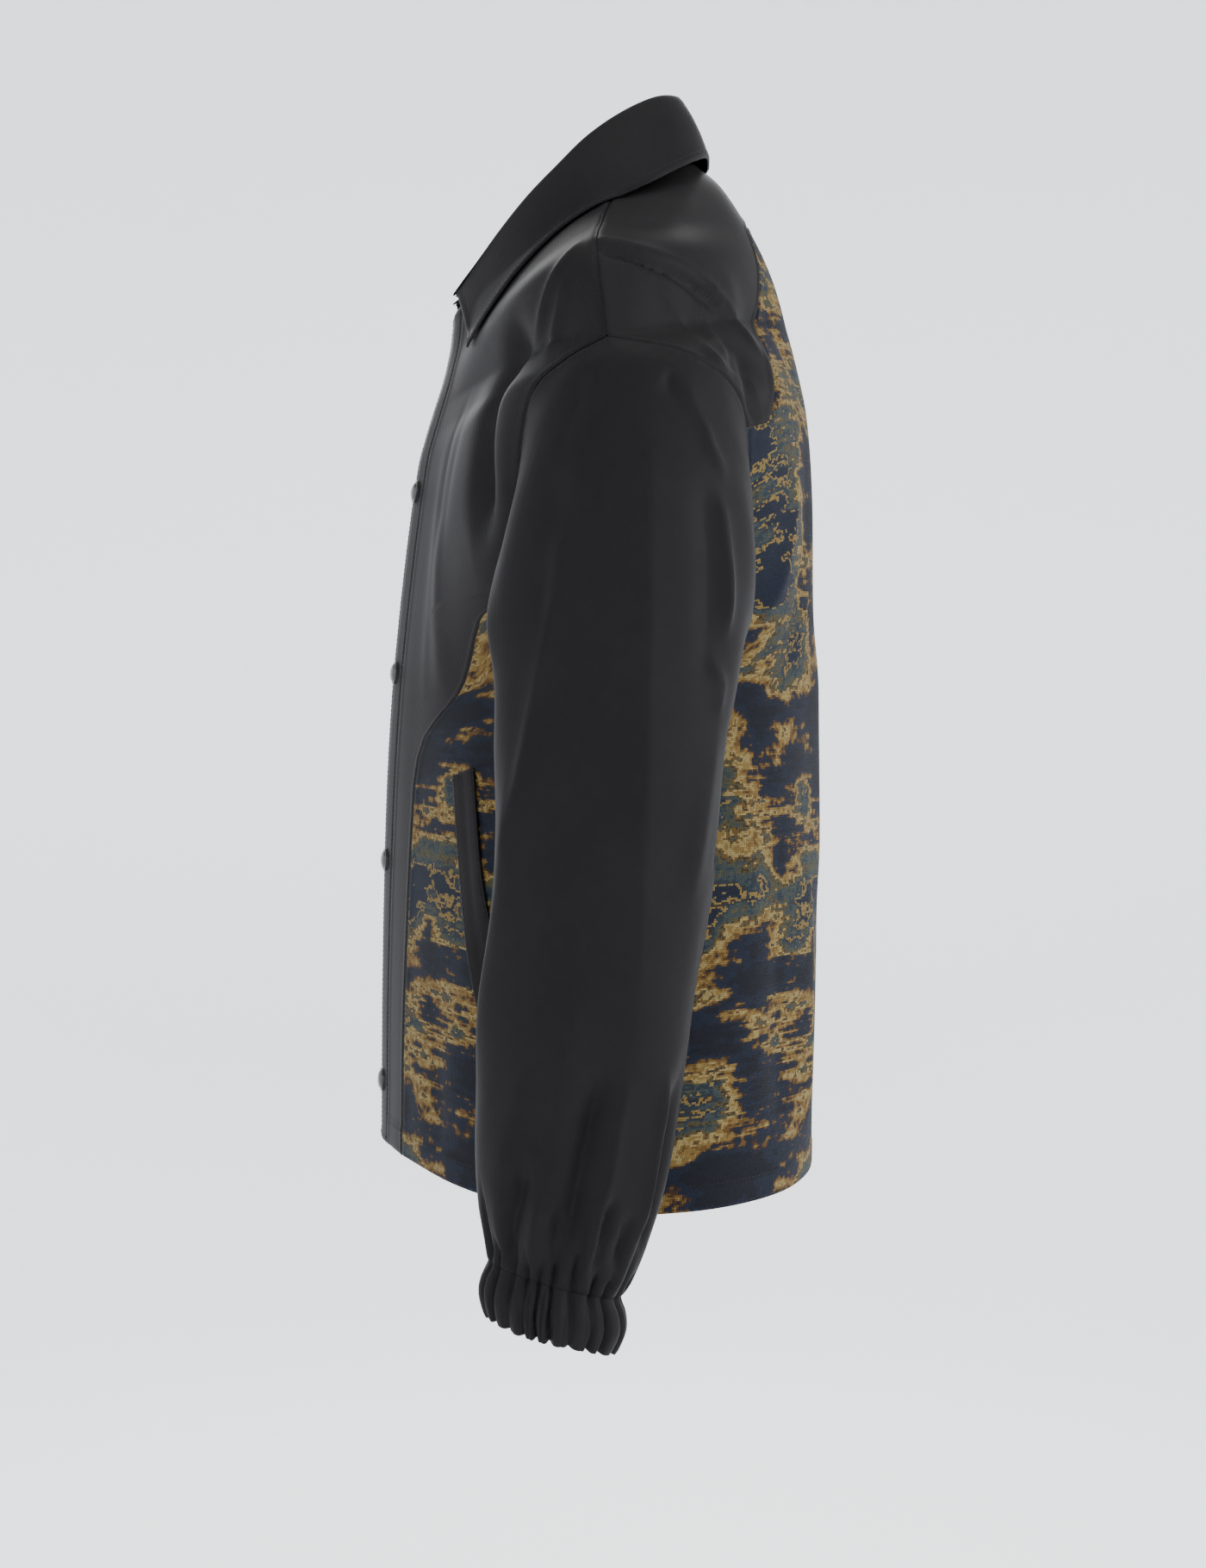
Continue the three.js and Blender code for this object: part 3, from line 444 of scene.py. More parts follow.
SLEEVE_RINGS = table(RING, [
    [253, -146, 189, -328, -1, 74, 0],
    [266, -181, 196, -341, -3, 75, 0],
    [278, -224, 201, -357, -7.5, 73, 0],
    [286, -272, 203.5, -377, -10, 69.5, 0],
    [292, -322, 204.5, -401, -13, 66, 0],
    [297, -378, 205, -432, -15, 62.5, 0],
    [300, -434, 205.5, -469, -19, 60, 0],
    [302, -490, 206, -509, -25.5, 59, 0.02],
    [301, -545, 207, -553, -31, 57.5, 0.08],
    [297, -592, 208, -595, -35.5, 54, 0.15],
    [292, -625, 210, -627, -40, 48, 0.22],
    [288, -645, 213, -647, -43, 42.5, 0.27],
    [285.5, -656, 215.5, -658, -45, 38.5, 0.28],
])
CUFF_RINGS = table(RING, [
    [285.5, -656.5, 215.5, -658.5, -45, 38.5, 0.28],
    [289, -672, 212, -674, -46, 41, 0.28],
    [284.5, -687, 216.5, -689, -47, 37.5, 0.28],
])
COLLAR = table("roll_x roll_y roll_z edge_x edge_y edge_z", [
    [0, 53, 82, 0, 73, 46],
    [32, 48, 80, 42, 67, 41],
    [57, 31, 72, 76, 51, 26],
    [70, 8, 58, 100, 25, 6],
    [74, -15, 41, 110, -6, -13],
    [71, -35, 22, 109, -31, -35],
    [63, -54, 4, 101, -52, -56],
    [51, -71, -15, 88, -68, -75],
    [33, -88, -36, 73, -80, -88],
    [15, -100, -49.5, 59, -91, -95],
])
print("levels of the body", len(FRONT["slope"]), "rings of a sleeve", len(SLEEVE_RINGS["drop"]))

# %% [markdown]
# ## Curves through a table
# A smooth curve through a column is a chain of cubics, each with the slope that its neighbours suggest.
# At a corner, such as the point of the underarm, the chain is cut so that it can turn.


# %% Vector helpers
def pack(*parts):
    return np.stack(np.broadcast_arrays(*parts), axis=-1).astype(float)


def size(v):
    return np.linalg.norm(v, axis=-1, keepdims=True)


def unit(v):
    return v / np.maximum(size(v), 1e-12)


def ease(t):
    t = np.clip(t, 0, 1)
    return t * t * (3 - 2 * t)


def mix(a, b, t):
    return a + (b - a) * t


def cubic(here, leave, there, arrive, t):
    """A cubic from here to there, with its slopes at both ends."""
    start = here * (1 + 2 * t) * (1 - t) ** 2 + leave * t * (1 - t) ** 2
    return start + there * t * t * (3 - 2 * t) + arrive * t * t * (t - 1)


def between(rows, name, row, corners=()):
    """A column's value at any real row number, smooth but for the corners."""
    column = rows[name]
    last = len(column) - 1
    k = np.clip(np.floor(row).astype(int), 0, last - 1)
    t = row - k
    here, there = column[k], column[k + 1]
    starts = (k == 0) | np.isin(k, corners)
    ends = (k == last - 1) | np.isin(k + 1, corners)
    before = np.where(starts, 2 * here - there, column[np.maximum(k - 1, 0)])
    after = np.where(ends, 2 * there - here, column[np.minimum(k + 2, last)])
    return cubic(here, (there - before) / 2, there, (after - here) / 2, t)


print("hem of the front at", between(FRONT, "centre_z", np.array([0.0])))

# %% [markdown]
# ## The body as one surface
# The jacket's body is cut in pieces but hangs as one surface. Half a front or back is a family of level
# curves from the centre to the outer edge: side seam, armhole, then shoulder seam. Across runs along a
# curve from 0 to 1 and row runs from the hem up. A piece of cloth is then a patch of this surface, so
# neighbours always meet.

# %% Half a front or back
CORNERS = (UNDERARM, SLEEVE_HEAD)
LEFT_FRONT = {"rows": FRONT, "outward": 1, "under": False}
RIGHT_FRONT = {"rows": FRONT, "outward": 1, "under": True}
BACK_HALF = {"rows": BACK, "outward": -1, "under": False}
SIDES = ((1, "left", LEFT_FRONT), (-1, "right", RIGHT_FRONT))


def mirror(side):
    return np.array((side, 1, 1))


def plain_point(half, across, row):
    across, row = np.broadcast_arrays(np.asarray(across, float), np.asarray(row, float))
    slope = np.radians(between(half["rows"], "slope", row))
    reach = between(half["rows"], "reach", row)
    centre = pack(0, *(between(half["rows"], f"centre_{n}", row) for n in "yz"))
    side = pack(*(between(half["rows"], f"side_{n}", row, CORNERS) for n in "xyz"))
    pull = pack(*(between(half["rows"], f"pull_{n}", row, CORNERS) for n in "xyz"))
    first = centre + pack(np.cos(slope), np.sin(slope), 0) * reach[..., None]
    a = across[..., None]
    s = 1 - a
    point = centre * s**3 + first * 3 * s * s * a + (side + pull) * 3 * s * a * a + side * a**3
    x = 3 * reach * across * np.cos(slope)
    band = pack(x, centre[..., 1] + x * np.tan(slope) * BAND_TURN, centre[..., 2])
    if half["under"]:
        point[..., 1] += UNDERLAP * (1 - ease(point[..., 0] / UNDERLAP_FADE))
        above = plain_point(LEFT_FRONT, np.maximum(-across, 0), row)
        band = above * (-1, 1, 1) + (0, UNDERLAP, 0)
    return np.where(a < 0, band, point)


def slopes(half, across, row):
    a = np.where(across > 0.5, across - STEP, across)
    r = np.where(row > 5, row - STEP, row)
    along = plain_point(half, a + STEP, row) - plain_point(half, a, row)
    up = plain_point(half, across, r + STEP) - plain_point(half, across, r)
    return along, up


def own_normal(half, across, row):
    along, up = slopes(half, across, row)
    return unit(np.cross(along, up)) * half["outward"]


def plain_normal(half, across, row):
    """The outward direction; front and back share it where they are sewn together."""
    own = own_normal(half, across, row)
    sewn = np.maximum(1 - ease((row - UNDERARM) / 0.5), ease((row - SLEEVE_HEAD + 0.5) / 0.5))
    share = (sewn * ease((across - 0.8) / 0.2))[..., None]
    one = np.ones_like(own[..., 0])
    partner = BACK_HALF if half["outward"] > 0 else LEFT_FRONT
    self_edge, other_edge = own_normal(half, one, row), own_normal(partner, one, row)
    return unit(own + (unit(self_edge + other_edge) - self_edge) * share)


def search(low, high, is_below, turns=40):
    """The value between low and high at which is_below turns from true to false."""
    for _ in range(turns):
        middle = (low + high) / 2
        below = is_below(middle)
        low, high = np.where(below, middle, low), np.where(below, high, middle)
    return (low + high) / 2


def across_for(half, row, distance):
    """Across at which a row reaches a distance from the centre, which may depend on its height."""
    row = np.asarray(row, float)

    def is_short(middle):
        point = plain_point(half, middle, row)
        target = distance(point[..., 2]) if callable(distance) else distance
        return point[..., 0] < target

    return search(np.full(row.shape, -0.2), np.ones(row.shape), is_short)


print("side seam is", plain_point(LEFT_FRONT, 1.0, 1.0)[0], "mm out")

# %% [markdown]
# ## The sleeve as one surface
# A sleeve is a tube. Its first ring is the armhole's own edge, and the rings after it are tilted ovals
# that turn level and then drop to the cuff. The armhole's shape fades out over the first rings.

# %% A sleeve's plain surface
ARMHOLE_FADE = 3
ARMHOLE_KEEP = 0.55


def ring_point(rings, ring, angle):
    at = {name: between(rings, name, ring) for name in rings}
    c, s = np.cos(angle), np.sin(angle)
    y = at["half_y"] * s
    return pack(
        (at["out_x"] + at["in_x"]) / 2 + (at["out_x"] - at["in_x"]) / 2 * c,
        at["middle_y"] + y,
        (at["out_z"] + at["in_z"]) / 2 + (at["out_z"] - at["in_z"]) / 2 * c - at["drop"] * y,
    )


def armhole_parts(angle):
    """Half of the body and its row at an angle round the armhole: 0 is the head, the back comes first."""
    angle = np.mod(angle, 2 * math.pi)
    over_back = angle <= math.pi
    turn = np.where(over_back, angle, 2 * math.pi - angle) / math.pi
    return over_back, SLEEVE_HEAD - (SLEEVE_HEAD - UNDERARM) * turn


def armhole_point(angle, surface=plain_point):
    over_back, row = armhole_parts(angle)
    low = np.clip(row, UNDERARM + STEP, SLEEVE_HEAD - STEP)
    one = np.ones_like(row)
    found = []
    for half in (BACK_HALF, LEFT_FRONT):
        along_edge = plain_point(half, one, low + STEP) - plain_point(half, one, low - STEP)
        along_row, _ = slopes(half, one, low)
        normal = plain_normal(half, one, low)
        outwards = np.where((row < UNDERARM + 0.5)[..., None], (0.2, 0, 1), along_row)
        away = unit(np.cross(normal, along_edge))
        away *= np.where((away * outwards).sum(-1, keepdims=True) < 0, -1, 1)
        turn = (1 - ease((row - UNDERARM) / 2))[..., None]
        found.append(surface(half, one, row) + unit(away + normal * turn) * SEAM * (1 + 0.5 * turn))
    return np.where(over_back[..., None], found[0], found[1])


def ringed_point(index, angle):
    shaped = ring_point(SLEEVE_RINGS, index - 1, angle)
    first = ring_point(SLEEVE_RINGS, np.zeros_like(index), angle)
    start = armhole_point(angle)
    keep = (1 - ease(index / ARMHOLE_FADE)) * ARMHOLE_KEEP
    shaped[..., 1] += (start - first)[..., 1] * keep
    shaped[..., 2] += ((start - first)[..., 2] - 6) * keep * 0.3
    return shaped


def sleeve_point(index, angle):
    """Index 0 is the armhole, 1 the first ring, and so on to the cuff."""
    index, angle = np.broadcast_arrays(np.asarray(index, float), np.asarray(angle, float))
    late = ringed_point(np.maximum(index, 1), angle)
    start = armhole_point(angle)
    one = np.ones_like(index)
    end = ringed_point(one, angle)
    arrive = (ringed_point(one + STEP, angle) - end) / STEP
    leave = 1.5 * (end - start) - 0.5 * arrive
    t = np.clip(index, 0, 1)[..., None]
    return np.where(index[..., None] < 1, cubic(start, leave, end, arrive, t), late)


LAST_RING = len(SLEEVE_RINGS["drop"])
print("sleeve ends at", sleeve_point(float(LAST_RING), 0.0))

# %% [markdown]
# ## Creases
# Cloth that hangs from a shoulder shows a few main folds, and each is uneven. They could be simulated,
# but then they would fall anywhere. Here each crease is listed: three points on a side of the jacket, its
# width, and its height in millimetres, below zero for a trough. Crisp says how sharp its line is, from 0
# for a soft swell to 1 for a pressed edge. A crease becomes a line in space on the plain cloth, so it
# runs on across a seam. The far side gets the same ones, each shifted and stretched a
# little.

# %% The creases, left side
# a row is a place and z at the start, middle and end, then width, height and crisp
SLEEVE_CREASES = {
    "outer": [  # places are distances behind the shoulder point
        [8, -132, 3, -345, -5, -580, 20, 4.4, 1.0],
        [-26, -140, -34, -165, -46, -200, 7, -2.0, 0.6],
        [18, -143, 20, -152, 24, -166, 5, -2.2, 0.5],
        [28, -145, 40, -178, 54, -214, 5, 2.8, 0.9],
        [46, -206, 52, -255, 48, -306, 6, 4.2, 0.95],
        [36, -200, 40, -260, 36, -330, 9, -2.4, 0.5],
        [38, -306, 47, -322, 42, -342, 6, 2.6, 0.7],
        [-40, -216, -54, -318, -77, -428, 8, 3.8, 0.95],
        [-24, -230, -36, -320, -56, -430, 12, -0.9, 0.3],
        [-20, -336, -28, -348, -38, -362, 8, 0.9, 0.4],
        [-16, -520, -33, -592, -43, -654, 10, -9.0, 0.5],
        [-4, -520, -18, -596, -29, -654, 6, 4.2, 0.8],
        [-13, -600, -20, -626, -27, -656, 4, -4.6, 0.7],
        [-61, -580, -70, -616, -76, -654, 5.5, -6.5, 0.6],
        [-54, -600, -59, -626, -63, -652, 5, 3.6, 0.7],
        [17, -530, 9, -588, -4, -646, 5.5, 5.0, 0.9],
        [23, -538, 14, -592, 2, -648, 5, -5.0, 0.7],
        [-60, -520, -70, -560, -78, -600, 10, 2.4, 0.4],
        [-44, -608, -48, -630, -51, -656, 4, -4.0, 0.7],
        [-3, -612, -8, -632, -12, -656, 4, -4.4, 0.7],
        [-31, -470, -40, -520, -52, -570, 9, 1.8, 0.7],
    ],
    "round": [  # places are degrees round the sleeve: 0 outside, 90 back, 180 inside
        [300, -330, 286, -450, 272, -560, 14, 3.4, 0.4],
        [330, -190, 325, -245, 318, -300, 11, -3.0, 0.3],
        [62, -330, 56, -395, 50, -460, 10, 2.6, 0.4],
        [75, -520, 68, -585, 60, -650, 9, -4.0, 0.3],
        [120, -250, 118, -335, 116, -420, 15, -3.6, 0.2],
        [98, -190, 104, -250, 112, -320, 9, 3.0, 0.6],
        [92, -330, 100, -370, 112, -400, 8, -2.4, 0.5],
        [86, -420, 96, -450, 104, -500, 9, 2.2, 0.5],
        [215, -380, 225, -450, 235, -520, 16, -2.6, 0.2],
        [150, -480, 158, -560, 165, -640, 13, 3.0, 0.2],
        [110, -560, 118, -600, 128, -650, 8, 3.4, 0.4],
        [262, -200, 268, -260, 280, -330, 9, 2.8, 0.6],
        [250, -230, 256, -300, 262, -360, 9, -2.6, 0.4],
        [250, -600, 246, -624, 240, -652, 7, -4.0, 0.4],
        [200, -610, 196, -630, 190, -654, 7, -3.4, 0.4],
    ],
}
BODY_CREASES = {
    "front": [  # places are distances from the centre
        [154, -85, 165, -160, 175, -245, 15, -12.0, 0.2],
        [124, -95, 121, -170, 116, -250, 18, 0.5, 0.0],
        [90, -200, 92, -265, 95, -330, 16, 2.5, 0.2],
        [165, -360, 158, -460, 150, -560, 22, 2.5, 0.0],
        [110, -480, 114, -550, 118, -620, 16, -2.5, 0.0],
        [142, -110, 152, -190, 160, -275, 8, 0.4, 0.6],
        [106, -130, 101, -220, 104, -300, 8, -0.5, 0.3],
        [66, -150, 70, -240, 66, -340, 10, 0.8, 0.2],
        [82, -120, 80, -180, 84, -240, 7, -0.6, 0.3],
    ],
    "front_side": [  # places are distances behind the shoulder point
        [-34, -76, -41, -106, -47, -140, 6, 3.2, 0.9],
        [-20, -50, -42, -80, -54, -122, 5, 2.6, 0.9],
    ],
    "back": [
        [172, -75, 184, -112, 194, -150, 14, -2.2, 0.3],
        [138, -50, 152, -105, 165, -160, 16, 1.8, 0.3],
        [120, -150, 128, -240, 135, -330, 17, -3.0, 0.2],
        [60, -260, 66, -370, 75, -480, 24, 3.0, 0.1],
        [150, -380, 146, -500, 140, -620, 20, -4.0, 0.2],
        [105, -420, 102, -520, 100, -620, 17, 3.0, 0.2],
        [150, -170, 158, -230, 172, -300, 10, 2.6, 0.4],
        [92, -60, 100, -110, 104, -170, 12, -1.8, 0.2],
        [40, -480, 36, -550, 44, -620, 16, -2.0, 0.1],
        [176, -330, 168, -400, 166, -480, 11, 2.2, 0.3],
    ],
    "back_side": [
        [59, -111, 62, -125, 63, -140, 5, -2.0, 0.4],
        [68, -116, 72, -142, 74, -172, 6, -2.6, 0.4],
        [15, -80, 38, -116, 62, -142, 6, 2.8, 0.9],
        [39, -86, 51, -106, 63, -134, 5, 2.4, 0.9],
        [-46, -66, 22, -72, 74, -102, 3.2, -5.0, 0.9],
        [43, -72, 66, -90, 86, -122, 6, 2.6, 0.8],
        [-46, -57, 22, -63, 74, -93, 5, 1.8, 0.7],
    ],
}
CREASE_STEPS = 14
CREASE_REACH = 3.2  # widths of a crease beyond which it has faded out
CREASE_ENDS = 0.3  # share of its line over which it rises and fades
EDGE_ROUND = 1.4  # radius of the sharpest fold
UNEVEN = ((0.18, 5), (0.1, 11))  # height and number of the waves along a crease
SHIFT_UP, SHIFT_ASIDE, STRETCH = 14, 4, 0.2  # how far the right side's creases may differ


def cloud(surface, first, second):
    """Many points of a surface, to find the one that lies at a place in a side view."""
    a, b = np.meshgrid(first, second)
    return surface(a, b).reshape(-1, 3)


ROWS = np.linspace(0, NECK, 260)
SHARES = np.linspace(0.02, 1, 160)
front_cloud = cloud(lambda a, r: plain_point(LEFT_FRONT, a, r), SHARES, ROWS)
back_cloud = cloud(lambda a, r: plain_point(BACK_HALF, a, r), SHARES, ROWS)
round_cloud = cloud(sleeve_point, np.linspace(0, LAST_RING, 260), np.radians(np.arange(0, 360, 2)))
round_cloud = round_cloud.reshape(180, 260, 3)
outer_cloud = np.concatenate([round_cloud[:51], round_cloud[-50:]]).reshape(-1, 3)
VIEWS = {
    "front": (front_cloud, 0),
    "front_side": (front_cloud[front_cloud[:, 0] > 90], 1),
    "back": (back_cloud, 0),
    "back_side": (back_cloud[back_cloud[:, 0] > 90], 1),
    "outer": (outer_cloud, 1),
}


def place_on(view, place, z):
    """The point of the plain cloth that shows at a place in one of the views."""
    if view == "round":
        line = round_cloud[round(place / 2) % 180]
        return line[np.argmin(np.abs(line[:, 2] - z))]
    points, axis = VIEWS[view]
    return points[np.argmin((points[:, axis] - place) ** 2 + (points[:, 2] - z) ** 2)]


def make_creases(tables, side, seed):
    """Crease lines of one side; the right side's are shifted a little."""
    draw = np.random.default_rng(seed)
    creases = []
    for view, rows in tables.items():
        for row in rows:
            values = np.array(row, float)
            if side < 0:
                values[[1, 3, 5]] += draw.uniform(-SHIFT_UP, SHIFT_UP)
                values[[0, 2, 4]] += draw.uniform(-SHIFT_ASIDE, SHIFT_ASIDE)
                values[6:8] *= draw.uniform(1 - STRETCH, 1 + STRETCH)
            t = np.linspace(0, 1, CREASE_STEPS)[:, None]
            start, middle, end = values[0:2], values[2:4], values[4:6]
            control = 2 * middle - (start + end) / 2
            flat = start * (1 - t) ** 2 + control * 2 * t * (1 - t) + end * t * t
            line = np.array([place_on(view, *point) for point in flat])
            line[1:-1] = (line[:-2] + line[1:-1] * 2 + line[2:]) / 4
            waves = draw.uniform(0, 2 * math.pi, 2)
            creases.append((line * (side, 1, 1), *values[6:9], waves))
    return creases


def crease_lift(points, creases):
    """How far the creases raise each point of the plain cloth."""
    flat = points.reshape(-1, 3)
    lift = np.zeros(len(flat))
    for line, width, height, crisp, waves in creases:
        reach = CREASE_REACH * width
        near = np.all((flat > line.min(0) - reach) & (flat < line.max(0) + reach), axis=1)
        spots = flat[near]
        best = np.full(len(spots), np.inf)
        where = np.zeros(len(spots))
        for i in range(len(line) - 1):
            run = line[i + 1] - line[i]
            t = np.clip((spots - line[i]) @ run / max(run @ run, 1e-9), 0, 1)
            away = np.linalg.norm(spots - line[i] - t[:, None] * run, axis=1)
            where = np.where(away < best, (i + t) / (len(line) - 1), where)
            best = np.minimum(best, away)
        soft = np.exp(-((best / width) ** 2))
        sharp = np.exp(-1.5 * (np.sqrt(best**2 + 2.0) - EDGE_ROUND) / width)
        fade = ease(where / CREASE_ENDS) * ease((1 - where) / CREASE_ENDS)
        uneven = 1 + sum(h * np.sin(n * where + start) for (h, n), start in zip(UNEVEN, waves))
        lift[near] += height * mix(soft, sharp, crisp) * fade * uneven
    return lift.reshape(points.shape[:-1])


body_creases = make_creases(BODY_CREASES, 1, 1) + make_creases(BODY_CREASES, -1, 2)
sleeve_creases = {1: make_creases(SLEEVE_CREASES, 1, 3), -1: make_creases(SLEEVE_CREASES, -1, 4)}
print("creases", len(body_creases), "on the body,", len(sleeve_creases[1]), "on a sleeve")

# %% [markdown]
# ## Ripples
# Between the main folds cloth is never quite flat. A sum of a few slow waves in all directions, with
# fixed directions and lengths, gives each place the same small rise on every run, and neighbours agree
# along a seam.

# %% Small ripples
RIPPLE_COUNT = 14
RIPPLE_LENGTHS = (45, 130)
RIPPLE_HEIGHT = 0.38
ripple_draw = np.random.default_rng(12)
ripple_ways = unit(ripple_draw.normal(size=(RIPPLE_COUNT, 3)) * (1, 1, 0.45))
ripple_waves = 2 * math.pi / ripple_draw.uniform(*RIPPLE_LENGTHS, RIPPLE_COUNT)
ripple_starts = ripple_draw.uniform(0, 2 * math.pi, RIPPLE_COUNT)


def ripple(points):
    total = np.sin(points @ (ripple_ways * ripple_waves[:, None]).T + ripple_starts).sum(-1)
    return RIPPLE_HEIGHT * total / math.sqrt(RIPPLE_COUNT)


def folds(points, creases):
    """How far creases and ripples together raise the plain cloth."""
    return crease_lift(points, creases) + ripple(points)


BAND_CALM, BAND_CALM_RUN = 26, 40  # the cloth beside the front band stays flat, then folds set in


def body_surface(half, side, across, row):
    """Point and outward direction of the creased body."""
    across, row = np.broadcast_arrays(np.asarray(across, float), np.asarray(row, float))
    flip = mirror(side)
    point = plain_point(half, across, row) * flip
    normal = plain_normal(half, across, row) * flip
    lift = folds(point, body_creases)
    if half["outward"] > 0:
        lift *= ease((np.abs(point[..., 0]) - BAND_CALM) / BAND_CALM_RUN)
    return point + normal * lift[..., None], normal


print("ripple at the origin", round(float(ripple(np.zeros(3))), 2), "mm")

# %% [markdown]
# ## Cloth shells
# Every piece is made the same way. A grid of points gives the outer face, the same grid moved in by the
# cloth's thickness gives the inner face, and narrow rims close the edges. Its own map holds distances
# along the cloth in metres, so a weave keeps its size. Near a sewn edge the outer face dips into the seam
# and swells a little beside it, where the turned-in cloth lies double.

# %% The shell maker
FINE = np.array([0, 0.8, 1.8, 3.0, 4.6, 7.0])


def shares(lengths, spacing):
    """Shares 0 to 1 of lines of these lengths: close together at both ends and even between."""
    lengths = np.atleast_1d(lengths).astype(float)[:, None]
    count = max(4, math.ceil((lengths.max() - 2 * FINE[-1]) / spacing))
    ends = FINE[None] * np.minimum(1, lengths / 24) / lengths
    middle = np.linspace(0, 1, count + 1)[None, 1:-1]
    inner = ends[:, -1:] + (1 - 2 * ends[:, -1:]) * middle
    return np.hstack([ends, inner, 1 - ends[:, ::-1]])


def lengths_along(grid, axis):
    """Distance along the cloth from the grid's first line, in millimetres."""
    steps = np.linalg.norm(np.diff(grid, axis=axis), axis=-1)
    start = np.zeros_like(np.take(steps, [0], axis=axis))
    return np.concatenate([start, np.cumsum(steps, axis=axis)], axis=axis)


DIP_DEPTH, DIP_WIDTH = 0.8, 1.3
SWELL_HEIGHT, SWELL_PLACE, SWELL_WIDTH = 0.45, 4, 2.4
FOLD_HEIGHT, FOLD_ROUND = 0.5, 0.9


def bell(distance, width):
    return np.exp(-((distance / width) ** 2))


def seam_roll(distance):
    swell = SWELL_HEIGHT * bell(distance - SWELL_PLACE, SWELL_WIDTH)
    return -DIP_DEPTH * bell(distance, DIP_WIDTH) + swell


def folded_edge(distance, depth):
    """Cloth turned up behind an edge: a little thicker as far as its depth."""
    return FOLD_HEIGHT * (1 - ease((distance - depth + 1) / 2)) - FOLD_HEIGHT * bell(distance, FOLD_ROUND)


def shell(name, outer, inner, along, up, material, ring=False):
    """A closed cloth shell from two grids of points; along and up are the map, in millimetres."""
    rows, columns = outer.shape[:2]
    points = np.concatenate([outer.reshape(-1, 3), inner.reshape(-1, 3)])
    index = np.arange(rows * columns).reshape(rows, columns)
    if ring:
        index = np.hstack([index, index[:, :1]])
    chart = np.arange(index.size).reshape(index.shape)
    flat = np.stack([along, up], axis=-1).reshape(-1, 2) * MM
    inside = index + rows * columns
    corners, places = [], []

    def quads(a, b, c, d):
        for store, slot in ((corners, 0), (places, 1)):
            store.append(np.stack([x[slot].ravel() for x in (a, b, c, d)], axis=-1))

    def part(grid, rows_cut, columns_cut):
        return grid[rows_cut, columns_cut], chart[rows_cut, columns_cut]

    low, high = slice(None, -1), slice(1, None)
    around = ((low, low), (low, high), (high, high), (high, low))
    quads(*(part(index, *cut) for cut in around))
    quads(*(part(inside, *around[k]) for k in (0, 3, 2, 1)))
    for row, one, two in ((0, high, low), (-1, low, high)):
        quads(part(index, row, one), part(index, row, two), part(inside, row, two), part(inside, row, one))
    if not ring:
        for column, one, two in ((0, low, high), (-1, high, low)):
            quads(
                part(index, one, column),
                part(index, two, column),
                part(inside, two, column),
                part(inside, one, column),
            )
    faces, charts = np.concatenate(corners), np.concatenate(places)
    a, b, c, d = (points[faces[:, k]] for k in range(4))
    volume = (a * np.cross(b, c)).sum() + (a * np.cross(c, d)).sum()
    if volume < 0:
        faces, charts = faces[:, ::-1], charts[:, ::-1]
    mesh = bpy.data.meshes.new(name)
    mesh.from_pydata((points * MM).tolist(), [], faces.tolist())
    layer = mesh.uv_layers.new(name="cloth")
    layer.data.foreach_set("uv", flat[charts.ravel()].ravel())
    mesh.shade_smooth()
    mesh.set_sharp_from_angle(angle=math.radians(55))
    mesh.materials.append(material)
    piece = linked(name, mesh)
    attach(piece, "root")
    return piece


print("grid near an edge", FINE)

# %% [markdown]
# ## Patches
# A patch is one cut piece of the body. It has a distance to each of its four edges, which shapes its
# seams and later leads the stitches. A patch also knows how large its flat cut is: the lengths and the
# area of the plain, uncreased surface.

# %% The patch maker
patches = {}


def cut_size(plain):
    """Widest and longest measure and the area of a plain grid, in metres and square metres."""
    width = lengths_along(plain, 1)[:, -1].max() * MM
    length = lengths_along(plain, 0)[-1].max() * MM
    one = plain[1:, 1:] - plain[:-1, :-1]
    two = plain[1:, :-1] - plain[:-1, 1:]
    area = np.linalg.norm(np.cross(one, two), axis=-1).sum() / 2 * MM * MM
    return round(width, 3), round(length, 3), round(area, 4)


def edge_distances(grid):
    along, up = lengths_along(grid, 1), lengths_along(grid, 0)
    return {"left": along, "right": along[:, -1:] - along, "low": up, "high": up[-1:] - up}


def keep(name, made, outer, plain, **more):
    """Note a finished piece: the node it stands for, its outer face and its flat cut."""
    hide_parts(name)
    patches[name] = {"outer": outer, "cut": cut_size(plain), **more}
    print(name, len(made.data.polygons), "faces, cut", patches[name]["cut"])


def make_patch(name, half, side, across, row, edges, material, raised=0.0, offset=0.0):
    """A cloth piece of the body from grids of across and row; edges names how each edge is finished."""
    plain = plain_point(half, across, row) * mirror(side)
    point, normal = body_surface(half, side, across, row)
    finish_piece(name, plain, point, normal, edges, material, raised, offset)


def finish_piece(name, plain, point, normal, edges, material, raised=0.0, offset=0.0):
    distances = edge_distances(plain)
    shaping = np.zeros(point.shape[:-1])
    for edge, finish in edges.items():
        if finish == "seam":
            shaping += seam_roll(distances[edge])
        elif finish:
            shaping = np.maximum(shaping, 0) + folded_edge(distances[edge], finish)
    outer = point + normal * (raised + shaping)[..., None]
    inner = point + normal * (raised - WALL)
    made = shell(name, outer, inner, distances["left"] + offset, distances["low"], material)
    keep(name, made, outer, plain, distances=distances)


def row_line(keys, spacing, half, across=0.5):
    """Rows from the first key to the last, evenly spaced along the cloth between keys."""
    rows = [np.array([keys[0]], float)]
    for start, end in zip(keys[:-1], keys[1:]):
        fine = np.linspace(start, end, 60)
        length = lengths_along(plain_point(half, np.full(60, across), fine), 0)
        count = max(2, math.ceil(length[-1] / spacing))
        rows.append(np.interp(np.linspace(0, length[-1], count + 1)[1:], length, fine))
    return np.concatenate(rows)


